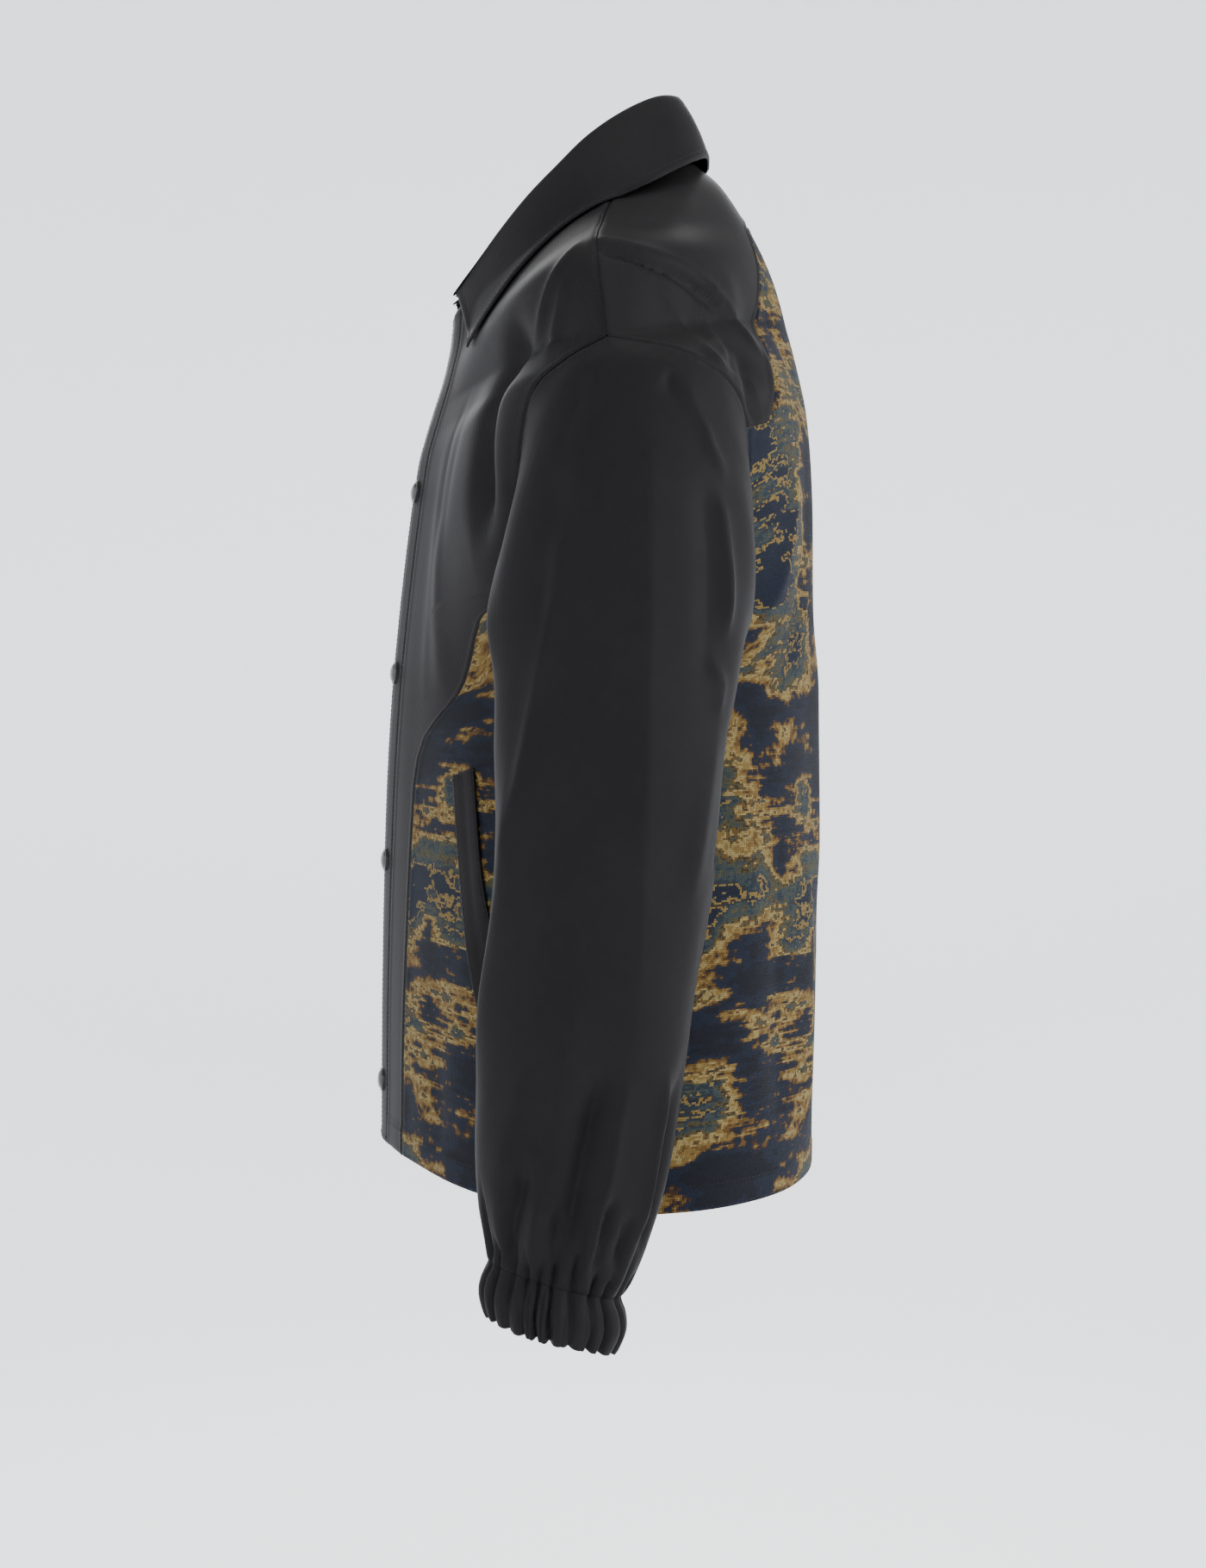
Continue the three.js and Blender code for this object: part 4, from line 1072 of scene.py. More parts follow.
GRID = 2.9
body_rows = row_line([0, 0.01, 0.03, UNDERARM, PANEL, SLEEVE_HEAD, 11.9, NECK], GRID, LEFT_FRONT)
print("rows of the body", len(body_rows))

# %% [markdown]
# ## Fronts and front band
# Each black front runs from the band to the seam of the side front, and above it to armhole and shoulder.
# The band is a doubled strip down the edge. The left one lies over the right one, and the snaps close
# them.

# %% Fronts and bands
BAND_FACING = 30
FRONT_HEM, PANEL_HEM, BAND_HEM = 18.0, 17.0, 4.0  # how deep each lower edge is turned up
SIDE_MAP, SIDE_MAP_STEP, BACK_MAP = 260, 140, 40.0  # where each piece lies on the patterned cloth


def seam_reach(z):
    return np.interp(z, SIDE_FRONT_SEAM["z"], SIDE_FRONT_SEAM["x"])


def band_edge(half, row):
    return across_for(half, row, BAND)


def panel_edge(half, row):
    return np.minimum(PANEL_TIP, across_for(half, row, seam_reach))


def front_edge(half, row):
    return np.where(row <= PANEL, panel_edge(half, row), 1.0)


def strip(half, rows, first, last, spacing):
    """Grids of across and row between two edges, with its columns close together at the edges."""
    ends = plain_point(half, first, rows), plain_point(half, last, rows)
    share = shares(np.linalg.norm(ends[1] - ends[0], axis=-1), spacing)
    return mix(first[:, None], last[:, None], share), np.repeat(rows[:, None], share.shape[1], axis=1)


def inset(half, across, row, distance):
    """Across moved by a distance in millimetres along its row."""
    along, _ = slopes(half, across, row)
    return across + distance * STEP / np.linalg.norm(along, axis=-1)


def make_fronts(side, word, half):
    rows = body_rows
    first = inset(half, band_edge(half, rows), rows, SEAM / 2)
    last = inset(half, front_edge(half, rows), rows, -SEAM / 2)
    edges = {"left": "seam", "right": "seam", "low": FRONT_HEM, "high": "seam"}
    make_patch(f"front_{word}", half, side, *strip(half, rows, first, last, GRID), edges, black_twill)
    free = across_for(half, rows, -BAND)
    first = inset(half, band_edge(half, rows), rows, -SEAM / 2)
    edges = {"left": BAND_FACING, "right": "seam", "low": BAND_HEM, "high": "seam"}
    make_patch(f"placket_{word}", half, side, *strip(half, rows, free, first, GRID), edges, black_twill)


for side, word, half in SIDES:
    make_fronts(side, word, half)

# %% [markdown]
# ## Side fronts
# A side front is a curved wedge of jacquard between the black front and the side seam. Its top tapers to
# a point at the armhole.

# %% Side fronts
def make_side_fronts(side, word, half):
    rows = body_rows[body_rows <= PANEL]
    first = inset(half, panel_edge(half, rows), rows, SEAM / 2)
    last = inset(half, np.ones_like(rows), rows, -SEAM / 2)
    edges = {"left": "seam", "right": "seam", "low": PANEL_HEM, "high": ""}
    across, row = strip(half, rows, first, last, GRID)
    offset = SIDE_MAP + SIDE_MAP_STEP * side
    make_patch(f"side_front_{word}", half, side, across, row, edges, jacquard, offset=offset)


for side, word, half in SIDES:
    make_side_fronts(side, word, half)

# %% [markdown]
# ## Back and yoke
# The back is cut in one piece and joined to the yoke by a seam that arches from one armhole over the
# shoulder blades to the other. Both are patches of the same surface with a shared edge.

# %% Back panel and yoke
def yoke_row(across):
    across = np.asarray(across, float)

    def is_lower(row):
        point = plain_point(BACK_HALF, across, row)
        return point[..., 2] < np.interp(point[..., 0], YOKE_SEAM["x"], YOKE_SEAM["z"])

    return search(np.full(across.shape, float(UNDERARM)), np.full(across.shape, float(NECK)), is_lower)


ARMHOLE_STEPS = 15
BACK_WIDTH = 480
armhole_rows = np.linspace(UNDERARM, SLEEVE_HEAD, ARMHOLE_STEPS + 1)
yoke_end = float(yoke_row(1.0))
yoke_armhole = float(armhole_rows[np.argmin(np.abs(armhole_rows - yoke_end))])


def yoke_edge(across):
    return yoke_row(across) + (yoke_armhole - yoke_end) * ease(across)


def make_back(name, rows, place, edges, material):
    """A patch over both halves of the back: place gives the row of a grid line at an across."""
    signed = shares(BACK_WIDTH, GRID)[0] * 2 - 1
    across = np.abs(signed)
    across_grid = np.repeat(across[None], len(rows), axis=0)
    row = np.stack([place(r, across) for r in rows])
    edge_in = inset(BACK_HALF, np.ones(1), np.array([2.0]), -SEAM / 2)[0]
    across_grid = np.minimum(across_grid, edge_in)
    flip = pack(np.where(signed < 0, -1, 1), 1, 1)
    plain = plain_point(BACK_HALF, across_grid, row) * flip
    normal = plain_normal(BACK_HALF, across_grid, row) * flip
    point = plain + normal * folds(plain, body_creases)[..., None]
    finish_piece(name, plain, point, normal, edges, material, offset=BACK_MAP)


edge_across = np.linspace(0, 1, 81)
edge_rows = yoke_edge(edge_across)


def panel_place(row, across):
    return row / yoke_armhole * np.interp(across, edge_across, edge_rows)


def yoke_place(row, across):
    share = (row - yoke_armhole) / (NECK - yoke_armhole)
    return mix(np.interp(across, edge_across, edge_rows), NECK, share)


YOKE_GAP = 0.001
panel_keys = [0, 0.03, yoke_armhole - 0.15, yoke_armhole - YOKE_GAP]
panel_rows = row_line(panel_keys, GRID * 1.1, BACK_HALF, 0.3)
upper_keys = [yoke_armhole + YOKE_GAP, yoke_armhole + 0.2, 11.85, NECK]
upper_rows = row_line(upper_keys, GRID * 0.8, BACK_HALF)
SEWN = {"left": "seam", "right": "seam"}
make_back("back_panel", panel_rows, panel_place, {**SEWN, "low": PANEL_HEM, "high": "seam"}, jacquard)
make_back("back_yoke", upper_rows, yoke_place, {**SEWN, "low": "seam", "high": "seam"}, black_twill)

# %% [markdown]
# ## Pocket welts
# A welt is a narrow folded strip sewn over the slanted pocket opening. It stands a little proud of the
# side front, and its rear edge is open, so a dark gap shows behind it.

# %% Welts
WELT_WIDTH = 22
WELT_TOP = (131, -371)
WELT_FOOT = (173, -532)
WELT_LEAN = 0.25
WELT_SPAN = 0.82
ROW_HEIGHT = 105
WELT_RISE = 2.2
WELT_FOLD, WELT_END = 9.0, 4.0


def make_welt(side, word, half):
    f, w = np.meshgrid(np.linspace(0, 1, 60), shares(WELT_WIDTH, 2.0)[0] - 0.5, indexing="ij")
    z = mix(WELT_TOP[1], WELT_FOOT[1], f) + w * WELT_WIDTH * WELT_LEAN
    x = mix(WELT_TOP[0], WELT_FOOT[0], f) + w * WELT_WIDTH * WELT_SPAN
    row = np.full(z.shape, 2.0)
    for _ in range(10):
        across = across_for(half, row, x)
        row = row + (z - plain_point(half, across, row)[..., 2]) / ROW_HEIGHT
    across = across_for(half, row, x)
    edges = {"left": WELT_FOLD, "right": WELT_FOLD, "low": WELT_END, "high": WELT_END}
    make_patch(f"pocket_welt_{word}", half, side, across, row, edges, black_twill, raised=WELT_RISE)


for side, word, half in SIDES:
    make_welt(side, word, half)

# %% [markdown]
# ## Sleeves
# Each sleeve is one tube of cloth. Its upper end follows the creased armhole, a crease pressed down the
# middle of its outer side turns the cloth like the spine of a book, and its lower end is drawn in by the
# elastic cuff. The gathers there are small, uneven and deepest at the seam.

# %% Sleeves
SLEEVE_GRID = 2.9
SLEEVE_COLUMNS = 196
GATHERS = 24
JOIN_RUN = 9
GATHER_RUN = (20, 62)
GATHER_DEPTH = 6.0
BROAD_GATHERS = 9
BROAD_DEPTH = 2.6
BROAD_RUN = 70
JOIN_DIP, JOIN_GATHER = 0.8, 3.0
INSIDE_MOST = 1.5  # no fold beside the body stands higher
HEAD_RUN, LOOP_RUN = 22, 30  # how far from the armhole folds set in, and its own shape fades


def closed(grid):
    """A tube's grid with its first column again at the end."""
    return np.concatenate([grid, grid[:, :1]], axis=1)


def swing(angle):
    """A wave between 0 and 1."""
    return 0.5 + 0.5 * np.sin(angle)


def gather_gap(angle, sharp):
    """1 down in the gap between two gathers and 0 on top of one, with uneven spacing."""
    shifted = angle + 0.07 * np.sin(3 * angle + 1) + 0.04 * np.sin(7 * angle + 2)
    return (1 - np.abs(np.sin(GATHERS / 2 * shifted))) ** sharp


def join_lift(angle):
    """How far the sleeve's end and the cuff's top, which are sewn together, are drawn in."""
    return -JOIN_DIP - JOIN_GATHER * gather_gap(angle, 1.5)


def levelled(normal, share):
    """Directions turned level by a share, so that two sewn edges are drawn in the same way."""
    return unit(mix(normal, unit(normal * (1, 1, 0)), share[..., None]))


def sleeve_indexes():
    fine = np.linspace(0, LAST_RING, 600)
    lengths = [lengths_along(sleeve_point(fine, np.full(600, a)), 0) for a in (0, 1.6, 3.1, 4.7)]
    mean = np.mean(lengths, axis=0)
    count = math.ceil(mean[-1] / SLEEVE_GRID)
    places = np.concatenate([[0, 0.8, 1.8], np.linspace(3, mean[-1] - 3, count), mean[-1] - [1.6, 0.6, 0]])
    return np.interp(places, mean, fine)


def tube_normals(grid):
    """Outward directions of a closed tube of points."""
    along = np.roll(grid, -1, axis=1) - np.roll(grid, 1, axis=1)
    up = np.gradient(grid, axis=0)
    normal = unit(np.cross(along, up))
    middle = grid.mean(axis=1, keepdims=True)
    return normal * np.sign(((grid - middle) * normal).sum(-1).mean())


def make_sleeve(side, word, half_side):
    angle = np.linspace(0, 2 * math.pi, SLEEVE_COLUMNS, endpoint=False)
    index, angle = np.meshgrid(sleeve_indexes(), angle, indexing="ij")
    flip = mirror(side)
    plain = sleeve_point(index, angle) * flip
    normal = tube_normals(plain)

    def creased(half, across, row):
        chosen = half_side if half["outward"] > 0 else half
        return body_surface(chosen, side, across, row)[0] * flip

    loop = armhole_point(angle[0], creased) * flip - plain[0]
    down = lengths_along(plain, 0)
    left = down[-1:] - down
    lift = folds(plain, sleeve_creases[side])
    broad = 0.5 + 0.5 * np.cos(BROAD_GATHERS * angle + 2 * np.sin(angle))
    lift -= BROAD_DEPTH * ease(1 - left / BROAD_RUN) * broad
    run = mix(*GATHER_RUN, swing(5 * angle + 1.3) * swing(8 * angle))
    lift -= GATHER_DEPTH * ease(1 - left / run) * gather_gap(angle, 1.3)
    lift = np.where(np.cos(angle) < 0, np.minimum(lift, INSIDE_MOST), lift) * ease(down / HEAD_RUN)
    lift = mix(lift, join_lift(angle), ease(1 - left / JOIN_RUN))
    normal = levelled(normal, ease(1 - left / JOIN_RUN))
    point = plain + normal * lift[..., None] + loop[None] * (1 - ease(down / LOOP_RUN))[..., None]
    final = tube_normals(point)
    outer = point + final * (seam_roll(down) + 0.6 * seam_roll(left))[..., None]
    around = lengths_along(closed(plain), 1)
    name = f"sleeve_{word}"
    made = shell(name, outer, point - final * WALL, around, closed(down), black_twill, ring=True)
    keep(name, made, outer, closed(plain))


for side, word, half in SIDES:
    make_sleeve(side, word, half)

# %% [markdown]
# ## Cuffs
# A cuff is a doubled band of the same cloth with wide elastic inside. Where the elastic pulls it in, the
# cloth stands in close upright puffs with deep gaps between them, and its edges are scalloped by them.

# %% Cuffs
CUFF_COLUMNS = 384
CUFF_ROWS = 26
CUFF_HEIGHT = 32
CUFF_DEPTH = 4.2
CUFF_PUFF = 0.9
CUFF_TUCK = 1.1
CUFF_EXTRA = 0.4  # the doubled band is this much thicker
FINE_GATHERS = 1.1
CUFF_SWAY = 0.5
TOP_DIP, TOP_DIP_WIDTH = 0.9, 0.09
LOW_DIP, LOW_DIP_WIDTH = 0.5, 0.1
SCALLOP = 1.2
JOIN_SHARE, TUCK_SHARE = 0.4, 0.3


def make_cuff(side, word):
    """Index runs from 0 at the cuff's top to 2 at its lower edge."""
    angle = np.linspace(0, 2 * math.pi, CUFF_COLUMNS, endpoint=False)
    levels = 2 * shares(CUFF_HEIGHT, CUFF_HEIGHT / (CUFF_ROWS - 2 * len(FINE)))[0]
    index, angle = np.meshgrid(levels, angle, indexing="ij")
    plain = ring_point(CUFF_RINGS, index, angle)
    middle = np.sin(math.pi * index / 2)
    valley = gather_gap(angle + 0.016 * np.sin(2.1 * index + 3 * angle), 1.7)
    depth = 0.72 + 0.28 * np.sin(7 * angle + 0.9 * index + 1)
    rise = CUFF_PUFF * (0.5 + 0.7 * middle) - CUFF_DEPTH * valley * depth
    rise -= FINE_GATHERS * gather_gap(2 * angle + 0.3, 1.5) * swing(3 * angle + 2)
    rise += CUFF_SWAY * np.sin(5 * angle + 2) * middle - TOP_DIP * bell(index, TOP_DIP_WIDTH)
    rise -= LOW_DIP * bell(2 - index, LOW_DIP_WIDTH)
    rise = mix(rise, join_lift(angle), ease(1 - index / JOIN_SHARE))
    normal = levelled(tube_normals(plain), ease(1 - index / JOIN_SHARE))
    outer = plain + normal * rise[..., None]
    scallop = SCALLOP * valley * (index - 1) * np.abs(index - 1)
    outer[..., 2] += scallop * ease(index) + CUFF_SWAY * np.sin(4 * angle) * ease(index - 1)
    outer[..., 2] += CUFF_TUCK * ease(1 - index / TUCK_SHARE)
    inner = outer - normal * (WALL + CUFF_EXTRA)
    flip = mirror(side)
    name = f"cuff_{word}"
    around, level = lengths_along(closed(plain), 1), lengths_along(closed(plain), 0)
    made = shell(name, outer * flip, inner * flip, around, level, black_twill, ring=True)
    keep(name, made, outer * flip, closed(outer * flip))


for side, word, _ in SIDES:
    make_cuff(side, word)

# %% [markdown]
# ## Collar
# A shirt collar stands up from the neck seam and folds over along the roll line. The fall hides the
# stand. It is cloth doubled over an interlining, so it is thicker and smoother than the body, and its
# underside must stay clear of the shoulders.

# %% Collar fall and stand
COLLAR_WALL = 1.7
COLLAR_CLEAR = 0.6
COLLAR_BULGE, BULGE_PLACE = 5, 0.35
EDGE_DROOP = 5
ROLL_INWARD = 3
ROLL_DOWN = 4
NECK_POINT = 3.2
FOOT_GAP = 0.1
FOOT_SINK = 1.0
STAND_GAP = 0.05
COLLAR_END = len(COLLAR["roll_x"]) - 1.0
COLLAR_REST = 8  # columns of the fall from here on are kept clear of the body
COLLAR_SMOOTHING = 6
ROLL_TUCK = 1.2  # how far the roll's inner lip lies behind it
FALL_WIDTH = 54
COLLAR_RIPPLE = 0.35
OUTLINE_SWELL, OUTLINE_PLACE, OUTLINE_DIP = 0.35, 3, 0.6


def collar_line(name, row):
    return pack(*(between(COLLAR, f"{name}_{axis}", row) for axis in "xyz"))


def collar_outward(row):
    reach = collar_line("edge", row) - collar_line("roll", row)
    return unit(reach * (1, 1, 0))


def collar_inner_edge(row):
    front = ease((row - 6) / 3)[..., None]
    point = collar_line("roll", row) - collar_outward(row) * ROLL_INWARD * (1 - 0.5 * front)
    return point - np.array((0, 0, 1)) * ROLL_DOWN * (1 - 0.6 * front)


near_rows, near_shares = np.meshgrid(np.linspace(7, NECK, 60), np.linspace(0, 1, 70), indexing="ij")
near_neck = [body_surface(half, 1, near_shares, near_rows) for half in (LEFT_FRONT, BACK_HALF)]
near_points = np.concatenate([point.reshape(-1, 3) for point, _ in near_neck])
near_normals = np.concatenate([normal.reshape(-1, 3) for _, normal in near_neck])


def clear_of_body(points, distance):
    flat = points.reshape(-1, 3).copy()
    for i, point in enumerate(flat):
        k = np.argmin(((near_points - point) ** 2).sum(-1))
        height = (point - near_points[k]) @ near_normals[k]
        flat[i] += near_normals[k] * max(0, distance - height)
    return flat.reshape(points.shape)


def both_sides(half_grid):
    """Half a collar from the centre back forwards, made whole."""
    return np.concatenate([half_grid[:0:-1], half_grid * (-1, 1, 1)])


def make_collar_fall():
    row = np.linspace(0, COLLAR_END, 130)
    roll, edge = collar_line("roll", row)[:, None], collar_line("edge", row)[:, None]
    edge = edge - np.array((0, 0, EDGE_DROOP)) * (1 - ease(row / 4))[:, None, None]
    outward = collar_outward(row)[:, None]
    inside = collar_inner_edge(row)[:, None]
    bulge = roll + (edge - roll) * BULGE_PLACE + outward * COLLAR_BULGE
    t = shares(FALL_WIDTH, 2.4)[0][None, :, None]
    fall = roll * (1 - t) ** 2 + bulge * 2 * t * (1 - t) + edge * t * t
    start = roll - outward * ROLL_TUCK
    lip = inside + (start - inside) * np.linspace(0, 1, 4)[None, :-1, None]
    rounded = mix(start, fall[:, 3:4], 0.5) + np.array((0, 0, 0.5))
    grid = np.concatenate([lip, start, rounded, fall[:, 3:]], axis=1)
    free = clear_of_body(grid[:, COLLAR_REST:], COLLAR_CLEAR + COLLAR_WALL + 0.8)
    for _ in range(COLLAR_SMOOTHING):
        free[1:-1] = (free[:-2] + free[1:-1] * 2 + free[2:]) / 4
    grid[:, COLLAR_REST:] = free
    whole = both_sides(grid)
    normal = unit(np.cross(np.gradient(whole, axis=1), np.gradient(whole, axis=0)))
    outside = whole * (1, 1, 0) - np.array((0, -20.0, 0))
    normal *= np.sign((normal[:, 10:] * outside[:, 10:]).sum(-1).mean())
    distances = edge_distances(whole)
    wave = COLLAR_RIPPLE * ripple(whole)
    outline = np.minimum(distances["right"], np.minimum(distances["low"], distances["high"]))
    shaping = OUTLINE_SWELL * ease(1 - np.abs(outline - OUTLINE_PLACE) / OUTLINE_PLACE)
    shaping -= OUTLINE_DIP * bell(outline, 1.0)
    outer = whole + normal * (wave + shaping)[..., None]
    inner = whole + normal * (wave - COLLAR_WALL)[..., None]
    made = shell("collar_fall", outer, inner, distances["low"], distances["left"], black_twill)
    keep("collar_fall", made, outer, whole, distances=distances)


def make_collar_stand():
    back_share = np.linspace(0, 1, 60)
    start = across_for(LEFT_FRONT, np.array(float(NECK)), BAND + 2.2)
    front_share = np.linspace(0, 1, 60)[1:]
    row = np.concatenate([NECK_POINT * back_share, mix(NECK_POINT, COLLAR_END, front_share)])
    front = ease((row - 6.5) / 2.5)[:, None]
    top = collar_inner_edge(row) + pack(0, 0.5 * front[:, 0], -1) * (STAND_GAP + 0.3 * front)
    share = np.linspace(0, 1, 10)[None, :, None]

    def side_grid(side):
        flip, feet = mirror(side), []
        for half, across in ((BACK_HALF, back_share), (LEFT_FRONT, mix(1.0, start, front_share))):
            neck = np.full(across.shape, float(NECK))
            point, normal = body_surface(half, side, across, neck)
            _, up = slopes(half, across, neck)
            feet.append(point + unit(up) * flip * FOOT_GAP - normal * FOOT_SINK)
        return mix(np.concatenate(feet)[:, None], (top * flip)[:, None], share)

    grid = np.concatenate([side_grid(1)[:0:-1], side_grid(-1)])
    outward = unit((grid + np.array((0, 20.0, 0))) * (1, 1, 0))
    distances = edge_distances(grid)
    around, up = distances["low"], distances["left"]
    made = shell("collar_stand", grid, grid - outward * WALL, around, up, black_twill)
    keep("collar_stand", made, grid, grid)


make_collar_fall()
make_collar_stand()

# %% [markdown]
# ## Snaps
# Four domed caps close the front. They repeat, so Geometry Nodes make them: one cap is a low dome, a
# raised rim and a flat skirt, and it is set on four points, turned to the cloth's outward direction
# there.

# %% Snap caps
SNAP_RADIUS = 7.75
SNAP_HEIGHT = 4.0
SNAP_LIFT = SEAM * 1.3
# sizes of a cap's parts, as shares of its radius and height
DOME_WIDE, DOME_HIGH, DOME_PLACE = 0.84, 0.66, 0.34
RIM_WIDE, RIM_THICK, SKIRT_HIGH = 0.93, 0.07, 0.36
SNAP_LEVELS = (-181, -303, -429, -577)


def snap_places():
    places, ways = [], []
    for level in SNAP_LEVELS:
        ends = np.array(0.0), np.array(float(NECK))
        row = search(*ends, lambda r: plain_point(LEFT_FRONT, 0.0, r)[..., 2] < level)
        beside = [body_surface(LEFT_FRONT, 1, a, row) for a in (0.02, -0.02)]
        centre, _ = body_surface(LEFT_FRONT, 1, 0.0, row)
        normal = unit(beside[0][1] + beside[1][1])
        places.append(centre + normal * SNAP_LIFT)
        ways.append(normal)
    return np.array(places), np.array(ways)


def tree_with(name, sockets):
    """A geometry tree with its input and output, and the named inputs it should have."""
    tree = bpy.data.node_groups.new(name, "GeometryNodeTree")
    tree.interface.new_socket("Geometry", in_out="INPUT", socket_type="NodeSocketGeometry")
    tree.interface.new_socket("Geometry", in_out="OUTPUT", socket_type="NodeSocketGeometry")
    for label, kind in sockets.items():
        tree.interface.new_socket(label, in_out="INPUT", socket_type=kind)
    return tree, add(tree, "NodeGroupInput"), add(tree, "NodeGroupOutput")


def transformed(tree, part, **settings):
    return add(tree, "GeometryNodeTransform", {"Geometry": part, **settings})


def set_on(tree, end, points, part, turn, material, **more):
    """Set a part on points, turned, and hand it on as a finished smooth mesh."""
    inputs = {"Points": points, "Instance": part, "Rotation": turn, **more}
    placed = add(tree, "GeometryNodeInstanceOnPoints", inputs)
    real = add(tree, "GeometryNodeRealizeInstances", {0: placed})
    smooth = add(tree, "GeometryNodeSetShadeSmooth", {0: real})
    finished = add(tree, "GeometryNodeSetMaterial", {0: smooth, "Material": material})
    tree.links.new(finished.outputs[0], end.inputs[0])


def snap_tree():
    sockets = {"Radius": "NodeSocketFloat", "Height": "NodeSocketFloat", "Way": "NodeSocketVector"}
    tree, start, end = tree_with("snap_caps", sockets)
    radius, height = start.outputs["Radius"], start.outputs["Height"]

    def share(value, part):
        return maths(tree, "MULTIPLY", value, part)

    def along(x, y, z):
        given = {axis: value for axis, value in enumerate((x, y, z)) if value is not None}
        return add(tree, "ShaderNodeCombineXYZ", given)

    def circle(resolution, part):
        inputs = {"Resolution": resolution, "Radius": share(radius, part)}
        return add(tree, "GeometryNodeCurvePrimitiveCircle", inputs)

    tube = {"Vertices": 48, "Radius": radius, "Depth": share(height, SKIRT_HIGH)}
    skirt = add(tree, "GeometryNodeMeshCylinder", tube)
    skirt = transformed(tree, skirt, Translation=along(None, None, share(height, SKIRT_HIGH / 2)))
    ball = add(tree, "GeometryNodeMeshUVSphere", {"Segments": 48, "Rings": 20, "Radius": 1.0})
    flat = along(share(radius, DOME_WIDE), share(radius, DOME_WIDE), share(height, DOME_HIGH))
    lift = along(None, None, share(height, DOME_PLACE))
    dome = transformed(tree, ball, Scale=flat, Translation=lift)
    wires = {"Curve": circle(48, RIM_WIDE), "Profile Curve": circle(10, RIM_THICK)}
    rim = add(tree, "GeometryNodeCurveToMesh", wires)
    rim = transformed(tree, rim, Translation=along(None, None, share(height, SKIRT_HIGH)))
    whole = add(tree, "GeometryNodeJoinGeometry")
    for part in (skirt, dome, rim):
        tree.links.new(part.outputs[0], whole.inputs[0])
    turn = add(tree, "FunctionNodeAlignRotationToVector", {"Vector": start.outputs["Way"]}, axis="Z")
    set_on(tree, end, start.outputs["Geometry"], whole, turn, snap_lacquer)
    return tree


def set_inputs(modifier, tree, values):
    for item in tree.interface.items_tree:
        if item.in_out == "INPUT" and item.name in values:
            value = values[item.name]
            if isinstance(value, str):
                modifier[item.identifier + "_use_attribute"] = True
                modifier[item.identifier + "_attribute_name"] = value
            else:
                modifier[item.identifier] = value


def grown(name, seed_mesh, tree, values):
    """Run a geometry tree on a small mesh and keep the result as a plain piece."""
    seed = linked(name + "_seed", seed_mesh)
    modifier = seed.modifiers.new(name, "NODES")
    modifier.node_group = tree
    set_inputs(modifier, tree, values)
    depsgraph = bpy.context.evaluated_depsgraph_get()
    mesh = bpy.data.meshes.new_from_object(seed.evaluated_get(depsgraph), depsgraph=depsgraph)
    mesh.name = name
    bpy.data.objects.remove(seed)
    piece = linked(name, mesh)
    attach(piece, "root")
    print(name, len(mesh.polygons), "faces")
    return piece


def make_snaps():
    places, ways = snap_places()
    mesh = bpy.data.meshes.new("snap_points")
    mesh.from_pydata((places * MM).tolist(), [], [])
    mesh.attributes.new("way", "FLOAT_VECTOR", "POINT").data.foreach_set("vector", ways.ravel())
    values = {"Radius": SNAP_RADIUS * MM, "Height": SNAP_HEIGHT * MM, "Way": "way"}
    snaps = grown("snap_caps", mesh, snap_tree(), values)
    snaps.data.set_sharp_from_angle(angle=math.radians(40))
    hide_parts("snap_cap_1", "snap_cap_2", "snap_cap_3", "snap_cap_4")
    return snaps


snaps = make_snaps()

# %% [markdown]
# ## Stitches
# Rows of stitches hold the seams flat. Each stitch is a short plump grain of thread. A path is drawn on
# the finished cloth at a fixed distance from an edge, and Geometry Nodes walk along it and set a stitch
# every few millimetres, each a little uneven.

# %% Stitch paths
HEM_STITCH = 15.0
WELT_STITCH = 1.9
COLLAR_STITCH = 5.5
STITCH_PITCH, STITCH_LENGTH, THREAD_WIDTH = 3.2, 2.5, 0.55
STITCH_SEED = 4


def path_at(name, edge, distance):
    """A path on a patch at a distance from one of its edges."""
    patch = patches[name]
    distances, outer = patch["distances"][edge], patch["outer"]
    if edge in ("low", "high"):
        distances, outer = distances.T, outer.transpose(1, 0, 2)
    if edge in ("right", "high"):
        distances, outer = distances[:, ::-1], outer[:, ::-1]
    path = []
    for line, points in zip(distances, outer):
        if line[-1] > 2 * distance:
            path.append([np.interp(distance, line, points[:, k]) for k in range(3)])
    return np.array(path)


STITCH_LINES = []
for word in ("left", "right"):
    STITCH_LINES += [
        (f"placket_{word}", "left", 2.2),
        (f"placket_{word}", "right", 2.4),
        (f"front_{word}", "right", 2.6),
        (f"front_{word}", "low", HEM_STITCH),
        (f"side_front_{word}", "low", HEM_STITCH),
    ]
    for edge in ("left", "right", "low", "high"):
        STITCH_LINES.append((f"pocket_welt_{word}", edge, WELT_STITCH))
STITCH_LINES += [("back_yoke", "low", 2.6), ("back_panel", "low", HEM_STITCH)]
for edge in ("right", "low", "high"):
    STITCH_LINES.append(("collar_fall", edge, COLLAR_STITCH))


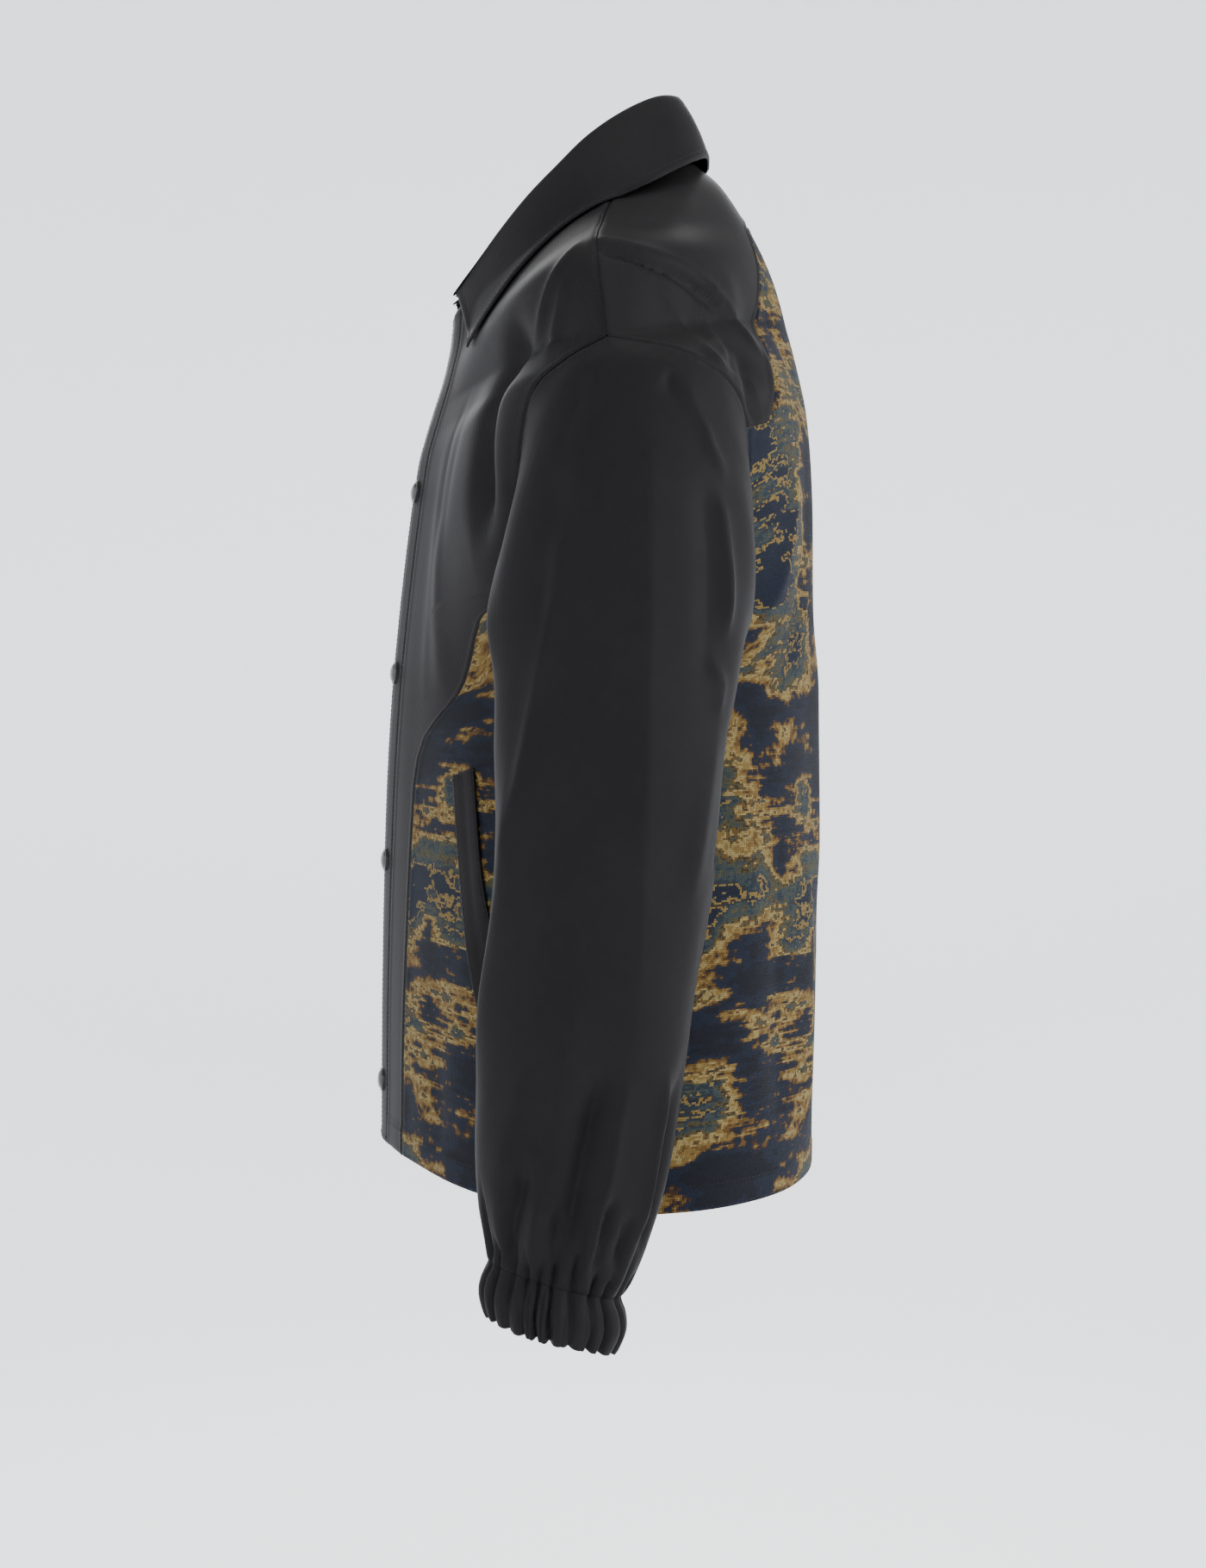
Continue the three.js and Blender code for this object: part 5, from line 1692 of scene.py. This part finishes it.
def stitch_tree():
    sockets = {name: "NodeSocketFloat" for name in ("Pitch", "Stitch", "Thread")}
    tree, start, end = tree_with("stitch_row", {**sockets, "Seed": "NodeSocketInt"})
    given = start.outputs
    curve = add(tree, "GeometryNodeMeshToCurve", {0: given["Geometry"]})
    spacing = {"Curve": curve, "Length": given["Pitch"]}
    spaced = add(tree, "GeometryNodeResampleCurve", spacing, mode="LENGTH")
    grain = add(tree, "GeometryNodeMeshUVSphere", {"Segments": 6, "Rings": 4, "Radius": 0.5})
    thick = {0: given["Thread"], 1: given["Thread"], 2: given["Stitch"]}
    grain = transformed(tree, grain, Scale=add(tree, "ShaderNodeCombineXYZ", thick))
    tangent = add(tree, "GeometryNodeInputTangent")
    turn = add(tree, "FunctionNodeAlignRotationToVector", {"Vector": tangent}, axis="Z")
    limits = {"Min": (0.9, 0.9, 0.85), "Max": (1.1, 1.1, 1.08), "Seed": given["Seed"]}
    uneven = add(tree, "FunctionNodeRandomValue", limits, data_type="FLOAT_VECTOR")
    set_on(tree, end, spaced, grain, turn, thread, Scale=uneven)
    return tree


def make_stitches():
    points, edges = [], []
    for name, edge, distance in STITCH_LINES:
        path = path_at(name, edge, distance)
        first = len(points)
        points += (path * MM).tolist()
        edges += [(first + i, first + i + 1) for i in range(len(path) - 1)]
    mesh = bpy.data.meshes.new("stitch_paths")
    mesh.from_pydata(points, edges, [])
    lengths = {"Pitch": STITCH_PITCH, "Stitch": STITCH_LENGTH, "Thread": THREAD_WIDTH}
    values = {**{name: value * MM for name, value in lengths.items()}, "Seed": STITCH_SEED}
    return grown("stitching", mesh, stitch_tree(), values)


stitches = make_stitches()

# %% [markdown]
# ## What each piece is
# The three patterned pieces are named with their finish, patterned cloth, and the sheets of cloth are
# counted.

# %% Slots of the patterned pieces
PATTERNED = ("side_front_left", "side_front_right", "back_panel")
SLOTS = dict.fromkeys(PATTERNED, "patterned_cloth")

for name, patch in patches.items():
    kind, _, word = name.rpartition("_")
print("sheets", len(patches))
